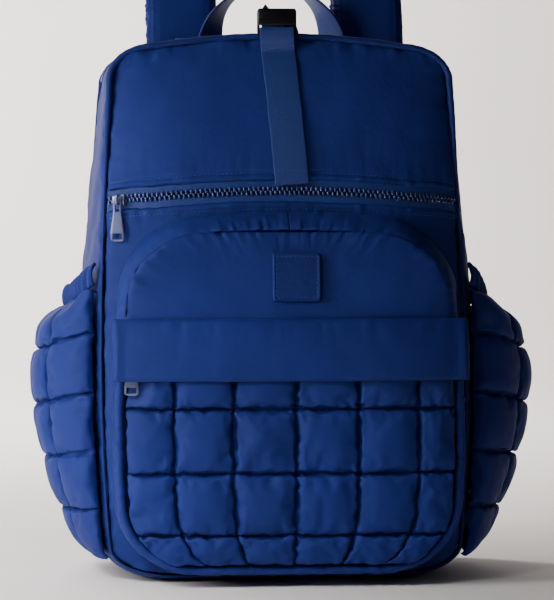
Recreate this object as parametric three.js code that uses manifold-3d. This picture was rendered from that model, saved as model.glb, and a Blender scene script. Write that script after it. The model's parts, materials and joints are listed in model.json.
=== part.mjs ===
// Quilted puffer backpack standing on its base.
// Millimetres, +Z up, the front pocket looks along -Y, the origin is the middle of the base.

import * as THREE from 'three';
import { mergeVertices } from 'three/addons/utils/BufferGeometryUtils.js';
import Module from 'manifold-3d';

const wasm = await Module();
wasm.setup();

// Main compartment
const bodyHeight = 437;
const seamLift = 5;
const baseDepth = 150;
const frontLean = 20;
const backLean = 6;
const bodyWall = 3;
const pipingRadius = 2.7;
const clearance = 0.3;
const sway = -4;

// Half widths of the front seam, the widest line of the side and the back seam
const frontHalfBase = 141;
const frontHalfTop = 137;
const frontBow = 7;
const sideHalfBase = 149;
const sideHalfTop = 141;
const sideBow = 15;
const backHalfBase = 147;
const backHalfTop = 141;
const backBow = 13;

// Corners shared by the three seam lines
const baseCornerWidth = 50;
const baseCornerHeight = 24;
const topCornerWidth = 38;
const topCornerHeight = 28;
const topCrown = 8;
const baseSag = 9;

// How far the panels puff out of their seams
const frontSwell = 20;
const backSwell = 4;

// Front zip across the panel
const frontZipHeight = 313;
const zipBandWidth = 16;
const zipChainWidth = 6.4;
const zipChainDepth = 2.6;
const zipTapeThickness = 1.2;
const frontZipSliderX = -133.5;
const zipChainSunk = 0.2;
const zipEndShare = 0.006;

// Sliders and pullers
const sliderLength = 11;
const sliderWidth = 9;
const sliderDepth = 2.5;
const bridgeLength = 8.6;
const bridgeGap = 2.8;
const bridgeWidth = 2.4;
const bridgeBar = 1.6;
const pullerLength = 34;
const pullerTopWidth = 6.6;
const pullerEndWidth = 11;
const pullerThickness = 1.6;
const pullerEyeHeight = 9;
const pullerHoleHeight = 6.4;
const pullerRim = 1.5;
const pullerChamfer = 1.8;

// Front pocket
const pocketLow = 9;
const pocketTop = 296;
const pocketHalfBase = 137;
const pocketHalfTop = 134;
const pocketBow = 3;
const pocketBaseCornerWidth = 64;
const pocketBaseCornerHeight = 60;
const pocketTopCornerWidth = 72;
const pocketTopCornerHeight = 62;
const pocketCrown = 2;
const pocketDepth = 38;
const pocketLean = 8;
const pocketSwell = 7;
const pocketWall = 2.5;
const pocketSideInset = 4;
const pocketTopInset = 13;
const pocketBaseInset = 5;
const pocketBorderRadius = 3.2;
const pocketBelly = 3;
const pocketSeat = 1.9;

// Storm flap over the pocket zip
const flapTop = 213;
const flapHeight = 49;
const flapHalf = 141;
const flapThickness = 3;
const flapStand = 12;
const pocketZipHeight = 186;
const pocketZipSliderX = -124.8;
const pocketZipProud = 1.6;
const pocketZipEnd = 1;

// Quilting
const quiltRelief = 5;
const quiltFacets = 3;

// Label patch
const labelSize = 38.5;
const labelThickness = 1.6;
const labelHeight = 245;
const labelX = 4.5;

// Side pockets
const sidePocketLow = 19;
const sidePocketTop = 256;
const sidePocketDip = 20;
const sidePocketSwellLeft = 33;
const sidePocketSwellRight = 42;
const sidePocketWall = 2.4;
const sidePocketRelief = 5;
const sidePocketEdge = 0.045;
const sidePocketSeam = 0.8;
const hemHeight = 19;
const hemThickness = 3.2;
const hemSwell = 9.6;
const hemGathers = 12;
const hemGatherDepth = 1.1;

// Shoulder straps
const strapWidth = 59;
const strapEndWidth = 44;
const strapThickness = 11;
const strapSpacing = 160;
const strapShift = 4;
const strapSpread = 20;
const strapRise = 46;
const strapReach = 44;
const strapStart = 396;
const strapEnd = 150;

// Strap adjusters and lower webbing
const lowerWebbingWidth = 25;
const webbingThickness = 1.8;
const anchorHeight = 34;
const adjusterHeight = 27;
const adjusterFrame = 4;
const adjusterDepth = 5;
const adjusterDrop = 8;
const adjusterCorner = 3;
const lowerWebbingSpread = 8;

// Haul handle
const handleSpacing = 106;
const handleWidth = 24;
const handleRise = 52;
const handleThickness = 2.4;
const handleRoot = 14;

// Compression webbing and buckle on top
const tailWidth = 27;
const tailEnd = 318;
const tailEndX = 3.6;
const buckleX = -7;
const buckleWidth = 31.5;
const buckleHeight = 21.5;
const buckleDepth = 5;
const buckleBar = 4;
const buckleSide = 1.9;
const buckleSlot = 4.4;
const buckleCorner = 3.4;
const anchorRoot = 20;
const webbingSlack = 0.6;

// Main zip over the top, behind the middle of the gusset
const mainZipPlace = 0.6;
const mainZipReach = 0.14;
const mainSliderX = 46;

const nylon = { color: 0x1d3a86, roughness: 0.62, metalness: 0 };
const ribbon = { color: 0x1c2f6b, roughness: 0.7, metalness: 0 };
const toothPlastic = { color: 0x1a2b66, roughness: 0.3, metalness: 0 };
const paintedMetal = { color: 0x5c6284, roughness: 0.38, metalness: 0.6 };
const blackPlastic = { color: 0x0b0b0d, roughness: 0.22, metalness: 0 };

const lerp = THREE.MathUtils.lerp;
const clamp = THREE.MathUtils.clamp;
const point = (x, y, z) => new THREE.Vector3(x, y, z);
const backpack = new THREE.Group();

function addPiece(name, geometry, look) {
  const mesh = new THREE.Mesh(geometry, new THREE.MeshStandardMaterial(look));
  mesh.name = name;
  backpack.add(mesh);
  return mesh;
}

// Turns the faces of a closed geometry outwards by the sign of its volume.
function facingOut(geometry) {
  const place = geometry.getAttribute('position');
  const index = geometry.getIndex().array;
  const corner = [0, 1, 2].map(() => new THREE.Vector3());
  let volume = 0;
  for (let i = 0; i < index.length; i += 3) {
    corner.forEach((vertex, k) => vertex.fromBufferAttribute(place, index[i + k]));
    volume += corner[0].dot(corner[1].clone().cross(corner[2]));
  }
  if (volume < 0) {
    for (let i = 0; i < index.length; i += 3) {
      [index[i], index[i + 1]] = [index[i + 1], index[i]];
    }
  }
  geometry.computeVertexNormals();
  return geometry;
}

// A sheet with two faces: outer and inner give a point for each share across and along.
function sheet(outer, inner, columns, rows) {
  const places = [];
  const faces = [];
  for (const face of [outer, inner]) {
    for (let row = 0; row <= rows; row++) {
      for (let column = 0; column <= columns; column++) {
        places.push(...face(column / columns, row / rows).toArray());
      }
    }
  }
  const layer = (columns + 1) * (rows + 1);
  const at = (side, column, row) => side * layer + row * (columns + 1) + column;
  const quad = (a, b, c, d) => faces.push(a, b, c, a, c, d);
  for (let row = 0; row < rows; row++) {
    for (let column = 0; column < columns; column++) {
      quad(at(0, column, row), at(0, column + 1, row), at(0, column + 1, row + 1), at(0, column, row + 1));
      quad(at(1, column, row), at(1, column, row + 1), at(1, column + 1, row + 1), at(1, column + 1, row));
    }
    quad(at(0, 0, row), at(0, 0, row + 1), at(1, 0, row + 1), at(1, 0, row));
    quad(at(0, columns, row), at(1, columns, row), at(1, columns, row + 1), at(0, columns, row + 1));
  }
  for (let column = 0; column < columns; column++) {
    quad(at(0, column, 0), at(1, column, 0), at(1, column + 1, 0), at(0, column + 1, 0));
    quad(at(0, column, rows), at(0, column + 1, rows), at(1, column + 1, rows), at(1, column, rows));
  }
  const geometry = new THREE.BufferGeometry();
  geometry.setAttribute('position', new THREE.Float32BufferAttribute(places, 3));
  geometry.setIndex(faces);
  return facingOut(geometry);
}

// The same surface moved by a distance along its normal, on the side of a given direction.
function moved(surface, distance, direction) {
  const step = 1e-3;
  return (u, v) => {
    const here = surface(u, v);
    const across = surface(Math.min(u + step, 1), v).sub(surface(Math.max(u - step, 0), v));
    const along = surface(u, Math.min(v + step, 1)).sub(surface(u, Math.max(v - step, 0)));
    const normal = across.cross(along).normalize();
    const side = Math.sign(normal.dot(direction(here))) || 1;
    return here.addScaledVector(normal, side * distance);
  };
}

const part = (surface, u0, u1, v0, v1) => (u, v) => surface(lerp(u0, u1, u), lerp(v0, v1, v));

// Seam lines of the body, by the share of the way from the base's middle to the top's middle
const ringShares = { base: 0.16, baseCorner: 0.29, side: 0.71, topCorner: 0.84 };
const baseCornerMiddle = (ringShares.base + ringShares.baseCorner) / 2;
const topCornerMiddle = (ringShares.side + ringShares.topCorner) / 2;

function bodyRing(halfBase, halfTop, bow) {
  return {
    low: seamLift, top: bodyHeight, halfBase, halfTop, bow, sway, crown: topCrown,
    baseCornerWidth, baseCornerHeight, topCornerWidth, topCornerHeight,
  };
}

function inset(ring, side, low = side, top = side) {
  return {
    ...ring,
    low: ring.low + low,
    top: ring.top - top,
    halfBase: ring.halfBase - side,
    halfTop: ring.halfTop - side,
    baseCornerWidth: ring.baseCornerWidth - side,
    baseCornerHeight: ring.baseCornerHeight - low,
    topCornerWidth: ring.topCornerWidth - side,
    topCornerHeight: ring.topCornerHeight - side,
  };
}

const sideLow = (ring) => ring.low + ring.baseCornerHeight;
const sideTop = (ring) => ring.top - ring.crown - ring.topCornerHeight;

function sideHalf(ring, share) {
  const bulge = Math.sin(Math.PI * Math.pow(share, 0.8));
  return lerp(ring.halfBase, ring.halfTop, share) + ring.bow * bulge;
}

function halfAt(ring, z) {
  const low = sideLow(ring);
  const top = sideTop(ring);
  if (z < low) {
    const fall = clamp((low - z) / ring.baseCornerHeight, 0, 1);
    return ring.halfBase - ring.baseCornerWidth * (1 - Math.sqrt(1 - fall * fall));
  }
  return sideHalf(ring, clamp((z - low) / (top - low), 0, 1));
}

function ringPoint(ring, turn) {
  const whole = turn - Math.floor(turn);
  const mirrored = whole > 0.5;
  const share = 2 * (mirrored ? 1 - whole : whole);
  const { base, baseCorner, side, topCorner } = ringShares;
  const flatBase = ring.halfBase - ring.baseCornerWidth;
  const flatTop = ring.halfTop - ring.topCornerWidth;
  let x = 0;
  let z = 0;
  if (share < base) {
    x = flatBase * share / base;
    z = ring.low;
  } else if (share < baseCorner) {
    const angle = (Math.PI / 2) * (share - base) / (baseCorner - base);
    x = flatBase + ring.baseCornerWidth * Math.sin(angle);
    z = sideLow(ring) - ring.baseCornerHeight * Math.cos(angle);
  } else if (share < side) {
    const up = (share - baseCorner) / (side - baseCorner);
    x = sideHalf(ring, up);
    z = lerp(sideLow(ring), sideTop(ring), up);
  } else if (share < topCorner) {
    const angle = (Math.PI / 2) * (share - side) / (topCorner - side);
    x = flatTop + ring.topCornerWidth * Math.cos(angle);
    z = sideTop(ring) + ring.topCornerHeight * Math.sin(angle);
  } else {
    x = flatTop * (1 - share) / (1 - topCorner);
    z = ring.top - ring.crown * Math.pow(x / flatTop, 2);
  }
  const lean = ring.sway * z / ring.top;
  return { x: (mirrored ? -x : x) + lean, z };
}

const frontRing = bodyRing(frontHalfBase, frontHalfTop, frontBow);
const sideRing = bodyRing(sideHalfBase, sideHalfTop, sideBow);
const backRing = bodyRing(backHalfBase, backHalfTop, backBow);

const frontY = (z) => -baseDepth / 2 + frontLean * Math.pow(clamp(z / bodyHeight, 0, 1), 1.6);
const backY = (z) => baseDepth / 2 - backLean * Math.pow(clamp(z / bodyHeight, 0, 1), 2);

// How far a filled panel stands out of its seams, 1 in the middle and 0 along the seam
function puff(ring, x, z) {
  const across = clamp((x - ring.sway * z / ring.top) / halfAt(ring, z), -1, 1);
  const up = clamp((2 * z - ring.low - ring.top) / (ring.top - ring.low), -1, 1);
  return (1 - Math.pow(across, 4)) * (1 - Math.pow(up, 4));
}

const panelY = (x, z) => frontY(z) - frontSwell * puff(frontRing, x, z);
const backPanelY = (x, z) => backY(z) + backSwell * puff(backRing, x, z);

// A panel inside a closed seam line, blended from its four sides
function seamPanel(ring, depthAt) {
  const baseTurn = baseCornerMiddle / 2;
  const topTurn = topCornerMiddle / 2;
  const low = (u) => ringPoint(ring, lerp(-baseTurn, baseTurn, u));
  const high = (u) => ringPoint(ring, lerp(1 - topTurn, topTurn, u));
  const left = (v) => ringPoint(ring, lerp(1 - baseTurn, 1 - topTurn, v));
  const right = (v) => ringPoint(ring, lerp(baseTurn, topTurn, v));
  return (u, v) => {
    const blend = (axis) => (1 - v) * low(u)[axis] + v * high(u)[axis]
      + (1 - u) * left(v)[axis] + u * right(v)[axis]
      - (1 - u) * (1 - v) * low(0)[axis] - u * (1 - v) * low(1)[axis]
      - (1 - u) * v * high(0)[axis] - u * v * high(1)[axis];
    const x = blend('x');
    const z = blend('z');
    return point(x, depthAt(x, z), z);
  };
}

const backwards = () => point(0, 1, 0);
const forwards = () => point(0, -1, 0);
const inwards = (here) => point(-here.x, -here.y, bodyHeight / 2 - here.z);

// Front panel, cut by the band of the front zip
const seamInset = pipingRadius + 10 * clearance;
const frontPanel = seamPanel(inset(frontRing, seamInset), panelY);

// The share from 0 to 1 where a rising value reaches its goal
function shareWhere(value, goal) {
  let low = 0;
  let high = 1;
  for (let step = 0; step < 40; step++) {
    const middle = (low + high) / 2;
    if (value(middle) < goal) {
      low = middle;
    } else {
      high = middle;
    }
  }
  return low;
}

const middleHeight = (share) => frontPanel(0.5, share).z;
const zipShare = shareWhere(middleHeight, frontZipHeight);
const bandShare = shareWhere(middleHeight, frontZipHeight + zipBandWidth / 2) - zipShare;
const bandScale = 2 * bandShare / zipBandWidth;

function addFrontPanel(name, from, to, rows) {
  const outer = part(frontPanel, 0, 1, from, to);
  addPiece(name, sheet(outer, moved(outer, bodyWall, backwards), 14, rows), nylon);
}

addFrontPanel('front_panel_lower', 0, zipShare - bandShare, 9);
addFrontPanel('front_panel_upper', zipShare + bandShare, 1, 5);

// Zip tapes and chain lie in the band, the tapes sunk below the fold
function zipStrip(from, to, sunk, thickness) {
  const strip = part(frontPanel, zipEndShare, 1 - zipEndShare, zipShare + from * bandScale,
    zipShare + to * bandScale);
  const outer = moved(strip, sunk, backwards);
  return sheet(outer, moved(outer, thickness, backwards), 14, 1);
}

const tapeInner = zipChainWidth / 2 + clearance;
const tapeOuter = zipBandWidth / 2 - clearance;
const frontZipStrips = [
  ['front_zip_tape_upper', tapeInner, tapeOuter, zipTapeThickness, zipTapeThickness, ribbon],
  ['front_zip_tape_lower', -tapeOuter, -tapeInner, zipTapeThickness, zipTapeThickness, ribbon],
  ['front_zip_chain', -zipChainWidth / 2, zipChainWidth / 2, zipChainSunk, zipChainDepth, toothPlastic],
];
for (const [name, from, to, sunk, thickness, look] of frontZipStrips) {
  addPiece(name, zipStrip(from, to, sunk, thickness), look);
}

// Gusset round the body, from the front seam to the back seam
function gussetPoint(turn, across) {
  const front = ringPoint(frontRing, turn);
  const back = ringPoint(backRing, turn);
  const middle = ringPoint(sideRing, turn);
  const belly = Math.pow(4 * across * (1 - across), 0.6);
  const baseShare = clamp(1 - middle.z / sideLow(sideRing), 0, 1);
  const x = lerp(front.x, back.x, across) + (middle.x - (front.x + back.x) / 2) * belly;
  const z = lerp(front.z, back.z, across) - baseSag * baseShare * belly;
  return point(x, lerp(frontY(front.z), backY(back.z), across), Math.max(z, 0));
}

const seamGap = (pipingRadius + clearance) / (baseDepth - frontLean);
const gusset = (turn, across) => gussetPoint(turn, lerp(seamGap, 1 - seamGap, across));
const turnGap = clearance / bodyHeight / 2;
const baseEnd = ringShares.base / 2;
const topStart = 0.5 - mainZipReach;
const mainChainShare = zipChainWidth / 2 / baseDepth;
const mainGapShare = clearance / baseDepth * 1.4;
const gussetPieces = [
  ['gusset_base', -baseEnd, baseEnd, 0, 1, 8, 4],
  ['gusset_right', baseEnd + turnGap, topStart, 0, 1, 12, 6],
  ['gusset_left', -topStart, -baseEnd - turnGap, 0, 1, 12, 6],
  ['gusset_top_front', topStart + turnGap, 1 - topStart - turnGap, 0,
    mainZipPlace - mainChainShare - mainGapShare, 14, 3],
  ['gusset_top_back', topStart + turnGap, 1 - topStart - turnGap,
    mainZipPlace + mainChainShare + mainGapShare, 1, 14, 2],
];
for (const [name, from, to, front, back, columns, rows] of gussetPieces) {
  const outer = part(gusset, from, to, front, back);
  addPiece(name, sheet(outer, moved(outer, bodyWall, inwards), columns, rows), nylon);
}

const mainChain = moved(part(gusset, topStart + turnGap, 1 - topStart - turnGap,
  mainZipPlace - mainChainShare, mainZipPlace + mainChainShare), zipChainSunk, inwards);
addPiece('main_zip_chain', sheet(mainChain, moved(mainChain, zipChainDepth, inwards), 14, 1), toothPlastic);

// Back panel
const backPanel = seamPanel(inset(backRing, seamInset), backPanelY);
addPiece('back_panel', sheet(backPanel, moved(backPanel, bodyWall, forwards), 10, 10), nylon);

// Piping along a closed seam line
class SeamCurve extends THREE.Curve {
  constructor(ring, depthAt) {
    super();
    this.ring = ring;
    this.depthAt = depthAt;
  }

  getPoint(turn, target = new THREE.Vector3()) {
    const { x, z } = ringPoint(this.ring, turn);
    return target.set(x, this.depthAt(z), z);
  }
}

function piping(curve, radius, steps, sides) {
  const tube = new THREE.TubeGeometry(curve, steps, radius, sides, true);
  deleteAttributes(tube);
  return facingOut(mergeVertices(tube, 1e-3));
}

function deleteAttributes(geometry) {
  geometry.deleteAttribute('normal');
  geometry.deleteAttribute('uv');
}

addPiece('front_piping', piping(new SeamCurve(frontRing, frontY), pipingRadius, 60, 5), nylon);
addPiece('back_piping', piping(new SeamCurve(backRing, backY), pipingRadius, 60, 5), nylon);

// Front pocket: a sloping wall from the panel to the seam of the pocket's face
const pocketRing = {
  low: pocketLow, top: pocketTop, halfBase: pocketHalfBase, halfTop: pocketHalfTop, bow: pocketBow,
  sway: 0, crown: pocketCrown,
  baseCornerWidth: pocketBaseCornerWidth, baseCornerHeight: pocketBaseCornerHeight,
  topCornerWidth: pocketTopCornerWidth, topCornerHeight: pocketTopCornerHeight,
};
const faceRing = inset(pocketRing, pocketSideInset, pocketBaseInset, pocketTopInset);
const faceSeamY = (z) => -baseDepth / 2 - pocketDepth + pocketLean * Math.pow(clamp(z / pocketTop, 0, 1), 2);
const faceY = (x, z) => faceSeamY(z) - pocketSwell * puff(faceRing, x, z);

function pocketWallPoint(turn, out, depthIn) {
  const root = ringPoint(inset(pocketRing, depthIn), turn);
  const edge = ringPoint(inset(faceRing, depthIn), turn);
  const middle = (pocketLow + pocketTop) / 2;
  const belly = pocketBelly * Math.sin(Math.PI * out);
  const reach = Math.hypot(edge.x, edge.z - middle);
  const x = lerp(root.x, edge.x, out) + belly * edge.x / reach;
  const z = lerp(root.z, edge.z, out) + belly * (edge.z - middle) / reach;
  const behindFace = faceSeamY(edge.z) + pocketWall + 2 * clearance;
  return point(x, lerp(panelY(root.x, root.z) - pocketSeat, behindFace, out), z);
}

// The wall is a ring of two halves that meet under the pocket and over it
for (const [name, from] of [['pocket_wall_right', 0], ['pocket_wall_left', 0.5]]) {
  const reach = 0.5 - turnGap;
  const outer = (u, v) => pocketWallPoint(from + turnGap / 2 + reach * u, v, 0);
  const inner = (u, v) => pocketWallPoint(from + turnGap / 2 + reach * u, v, pocketWall);
  addPiece(name, sheet(outer, inner, 20, 2), nylon);
}

// Half width of a seam line at any height, round its top and base corners
function wholeHalfAt(ring, z) {
  const top = sideTop(ring);
  if (z <= top) {
    return halfAt(ring, z);
  }
  const rise = clamp((z - top) / ring.topCornerHeight, 0, 1);
  return ring.halfTop - ring.topCornerWidth * (1 - Math.sqrt(1 - rise * rise));
}

// Face of the pocket in level rows between two heights: a plain upper part, the zip
// under the flap and the quilted lower part
const levelFace = (from, to, edge) => (u, v) => {
  const z = lerp(from, to, v);
  const x = (2 * u - 1) * (wholeHalfAt(faceRing, z) - edge);
  return point(x, faceY(x, z), z);
};
const chainHalf = zipChainWidth / 2;
const faceTop = faceRing.top - faceRing.crown;
const upperFace = levelFace(pocketZipHeight + chainHalf + clearance, faceTop, clearance);
const crowded = (u, v) => upperFace(u, Math.sin(Math.PI / 2 * v));
addPiece('pocket_face_upper', sheet(crowded, moved(crowded, pocketWall, backwards), 12, 6), nylon);

const zipFace = levelFace(pocketZipHeight - chainHalf, pocketZipHeight + chainHalf, pocketBorderRadius + pocketZipEnd);
const zipFaceOuter = moved(zipFace, pocketZipProud, forwards);
addPiece('pocket_zip_chain', sheet(zipFaceOuter, moved(zipFaceOuter, zipChainDepth, backwards), 12, 1),
  toothPlastic);

// Seams of the quilting as shares of the face, left to right and bottom to top
const quiltColumns = [0, 0.146, 0.326, 0.514, 0.704, 0.886, 1];
const quiltRows = [0, 0.144, 0.443, 0.754, 1];

// The share at a grid line that visits every seam, and how far the filling rises there
function quiltStation(seams, share) {
  const cell = Math.min(Math.floor(share * (seams.length - 1) + 1e-9), seams.length - 2);
  const within = share * (seams.length - 1) - cell;
  const rise = Math.pow(Math.max(4 * within * (1 - within), 0), 0.75);
  return { place: lerp(seams[cell], seams[cell + 1], within), rise };
}

function quilt(smooth, columns, rows, relief, wall, inside, facets) {
  const outer = (u, v) => {
    const across = quiltStation(columns, u);
    const up = quiltStation(rows, v);
    const lift = relief * across.rise * up.rise;
    return moved(smooth, -lift, inside)(across.place, up.place);
  };
  const inner = (u, v) => {
    const across = quiltStation(columns, u);
    const up = quiltStation(rows, v);
    return moved(smooth, wall, inside)(across.place, up.place);
  };
  return sheet(outer, inner, (columns.length - 1) * facets, (rows.length - 1) * facets);
}

const lowerInset = pocketBorderRadius + 14 * clearance;
const quiltTop = pocketZipHeight - chainHalf - 4 * clearance;
const lowerFace = levelFace(faceRing.low + lowerInset, quiltTop, lowerInset);
addPiece('pocket_quilt', quilt(lowerFace, quiltColumns, quiltRows, quiltRelief, pocketWall, backwards,
  quiltFacets), nylon);

// Padded border round the quilted part, ending under the flap
class BorderCurve extends THREE.Curve {
  getPoint(share, target = new THREE.Vector3()) {
    const low = sideLow(faceRing);
    const up = (pocketZipHeight - low) / (sideTop(faceRing) - low);
    const end = lerp(ringShares.baseCorner, ringShares.side, up) / 2;
    const { x, z } = ringPoint(faceRing, lerp(-end, end, share));
    return target.set(x, faceSeamY(z) - clearance, z);
  }
}
const borderSection = new THREE.Shape().absarc(0, 0, pocketBorderRadius, 0, 2 * Math.PI);
addPiece('pocket_border', tidy(new THREE.ExtrudeGeometry(borderSection, {
  steps: 40, extrudePath: new BorderCurve(), curveSegments: 3,
})), nylon);

function tidy(geometry) {
  deleteAttributes(geometry);
  return facingOut(mergeVertices(geometry, 1e-3));
}

// Storm flap, sewn along its top and standing off the face below
function flapPoint(u, v, lift) {
  const x = lerp(-flapHalf, flapHalf, u);
  const down = 1 - v;
  const stand = flapStand * (1 - Math.pow(1 - down, 3)) + 2 * clearance;
  return point(x, faceY(x, flapTop) - stand - lift, flapTop - flapHeight * down);
}
addPiece('pocket_flap', sheet((u, v) => flapPoint(u, v, flapThickness), (u, v) => flapPoint(u, v, 0), 12, 4),
  nylon);

// Label patch on the upper face
const labelPoint = (u, v, lift) => {
  const x = labelX + lerp(-labelSize / 2, labelSize / 2, u);
  const z = labelHeight + lerp(-labelSize / 2, labelSize / 2, v);
  return point(x, faceY(x, z) - clearance - lift, z);
};
addPiece('label_patch', sheet((u, v) => labelPoint(u, v, labelThickness), (u, v) => labelPoint(u, v, 0), 3, 3),
  nylon);

// Side pockets: rows give the height share of a seam and how far the wall stands out there
const sidePocketProfile = [
  { height: 0, stand: 0.05 },
  { height: 0.07, stand: 0.36 },
  { height: 0.16, stand: 0.52 },
  { height: 0.32, stand: 0.76 },
  { height: 0.5, stand: 0.92 },
  { height: 0.68, stand: 1 },
  { height: 0.84, stand: 0.84 },
  { height: 0.92, stand: 0.3 },
];
const sidePocketColumns = [0, 0.25, 0.5, 0.75, 1];
const sidePocketRows = [0, 0.185, 0.395, 0.61, 0.83, 1];

function sideStand(height) {
  const upper = sidePocketProfile.findIndex((row) => row.height >= height - 1e-9);
  const above = sidePocketProfile[Math.max(upper, 0)];
  const below = sidePocketProfile[Math.max(upper - 1, 0)];
  const share = above === below ? 0 : (height - below.height) / (above.height - below.height);
  return lerp(below.stand, above.stand, clamp(share, 0, 1));
}

function gussetSide(side, across, z, lift) {
  const edge = lerp(sidePocketEdge, 1 - sidePocketEdge, across);
  const belly = Math.pow(4 * edge * (1 - edge), 0.6);
  const front = halfAt(frontRing, z);
  const back = halfAt(backRing, z);
  const half = lerp(front, back, edge) + (halfAt(sideRing, z) - (front + back) / 2) * belly;
  return point(side * (half + lift) + sway * z / bodyHeight, lerp(frontY(z), backY(z), edge), z);
}

// The mouth falls from the front seam to the middle and stays level towards the back
const mouthHeight = (across) => sidePocketTop - sidePocketDip * Math.sin(Math.PI * Math.min(across, 0.5));
const hemShare = 1 - hemHeight / (sidePocketTop - sidePocketLow);

function sidePocketSurface(side, swell, lift) {
  return (across, share) => {
    const z = lerp(sidePocketLow, mouthHeight(across) - hemHeight - 4 * clearance, share);
    const round = Math.pow(Math.sin(Math.PI * clamp(across, 0, 1)), 0.6);
    const stand = swell * sideStand(share * hemShare) * round;
    return gussetSide(side, across, z, sidePocketSeam + lift + stand);
  };
}

function hemPoint(side, across, up, lift) {
  const z = mouthHeight(across) - hemHeight * (1 - up);
  const round = Math.pow(Math.sin(Math.PI * across), 0.6);
  const gather = hemGatherDepth * Math.sin(2 * Math.PI * hemGathers * across);
  return gussetSide(side, across, z, 2 * clearance + hemGatherDepth + lift + gather + hemSwell * round);
}

for (const [name, side, swell] of [['left', -1, sidePocketSwellLeft], ['right', 1, sidePocketSwellRight]]) {
  const smooth = sidePocketSurface(side, swell, sidePocketWall);
  addPiece(`side_pocket_${name}`, quilt(smooth, sidePocketColumns, sidePocketRows, sidePocketRelief,
    sidePocketWall, () => point(-side, 0, 0), 3), nylon);
  addPiece(`side_pocket_hem_${name}`, sheet((u, v) => hemPoint(side, u, v, hemThickness),
    (u, v) => hemPoint(side, u, v, 0), hemGathers * 3, 1), nylon);
}

// A strap: a band along a path, flat across its width, with thinner edges where it is padded
function band(path, acrossAt, widthAt, thickness, edge, columns, rows) {
  const face = (lift) => (u, v) => {
    const here = path.getPoint(v);
    const across = acrossAt(v);
    const normal = path.getTangent(v).cross(across).normalize();
    const thin = 1 - (1 - edge) * Math.pow(Math.abs(2 * u - 1), 4);
    return here.addScaledVector(across, widthAt(v) * (u - 0.5)).addScaledVector(normal, lift * thin);
  };
  return sheet(face(thickness / 2), face(-thickness / 2), columns, rows);
}

const along = (...rows) => new THREE.CatmullRomCurve3(rows.map((row) => point(...row)));
const sideways = () => point(1, 0, 0);

// Shoulder strap route: drop from its top as a share, and how far behind the panel it stands
const strapTop = bodyHeight + strapRise;
const strapRoute = [
  { height: 0, behind: 0 },
  { height: 0.4, behind: 0.16 },
  { height: 0.8, behind: 0.33 },
  { height: 1, behind: 0.6 },
  { height: 0.9, behind: 0.92 },
  { height: 0.5, behind: 1 },
  { height: -0.3, behind: 0.96 },
  { height: -1.1, behind: 0.8 },
  { height: -1.9, behind: 0.6 },
  { height: -2.8, behind: 0.4 },
];

function strapPath(side) {
  const last = strapRoute.length - 1;
  const rows = strapRoute.map(({ height, behind }, i) => {
    const down = height < 0 ? lerp(strapStart, strapEnd, height / strapRoute[last].height) : 0;
    const z = height < 0 ? down : lerp(strapStart, strapTop, height);
    const x = strapShift + side * (strapSpacing / 2 + strapSpread * clamp((strapStart - z) / (strapStart - strapEnd), 0, 1));
    const seat = backPanelY(x, Math.min(z, strapStart)) + strapThickness / 2 + 2 * clearance;
    return [x, seat + strapReach * behind, z];
  });
  return along(...rows);
}

// Adjuster: a frame with two slots across its width
function slottedFrame(width, height, depth, side, bar, slots, radius) {
  const shape = new THREE.Shape();
  const w = width / 2;
  const h = height / 2;
  shape.moveTo(-w + radius, -h);
  shape.lineTo(w - radius, -h);
  shape.absarc(w - radius, -h + radius, radius, -Math.PI / 2, 0);
  shape.lineTo(w, h - radius);
  shape.absarc(w - radius, h - radius, radius, 0, Math.PI / 2);
  shape.lineTo(-w + radius, h);
  shape.absarc(-w + radius, h - radius, radius, Math.PI / 2, Math.PI);
  shape.lineTo(-w, -h + radius);
  shape.absarc(-w + radius, -h + radius, radius, Math.PI, 1.5 * Math.PI);
  for (const [low, high] of slots) {
    const hole = new THREE.Path();
    hole.moveTo(-w + side, low);
    hole.lineTo(-w + side, high);
    hole.lineTo(w - side, high);
    hole.lineTo(w - side, low);
    shape.holes.push(hole);
  }
  const solid = new THREE.ExtrudeGeometry(shape, { depth, bevelEnabled: false, curveSegments: 3 });
  solid.translate(0, 0, -depth / 2);
  return tidy(solid).rotateX(Math.PI / 2);
}

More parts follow.
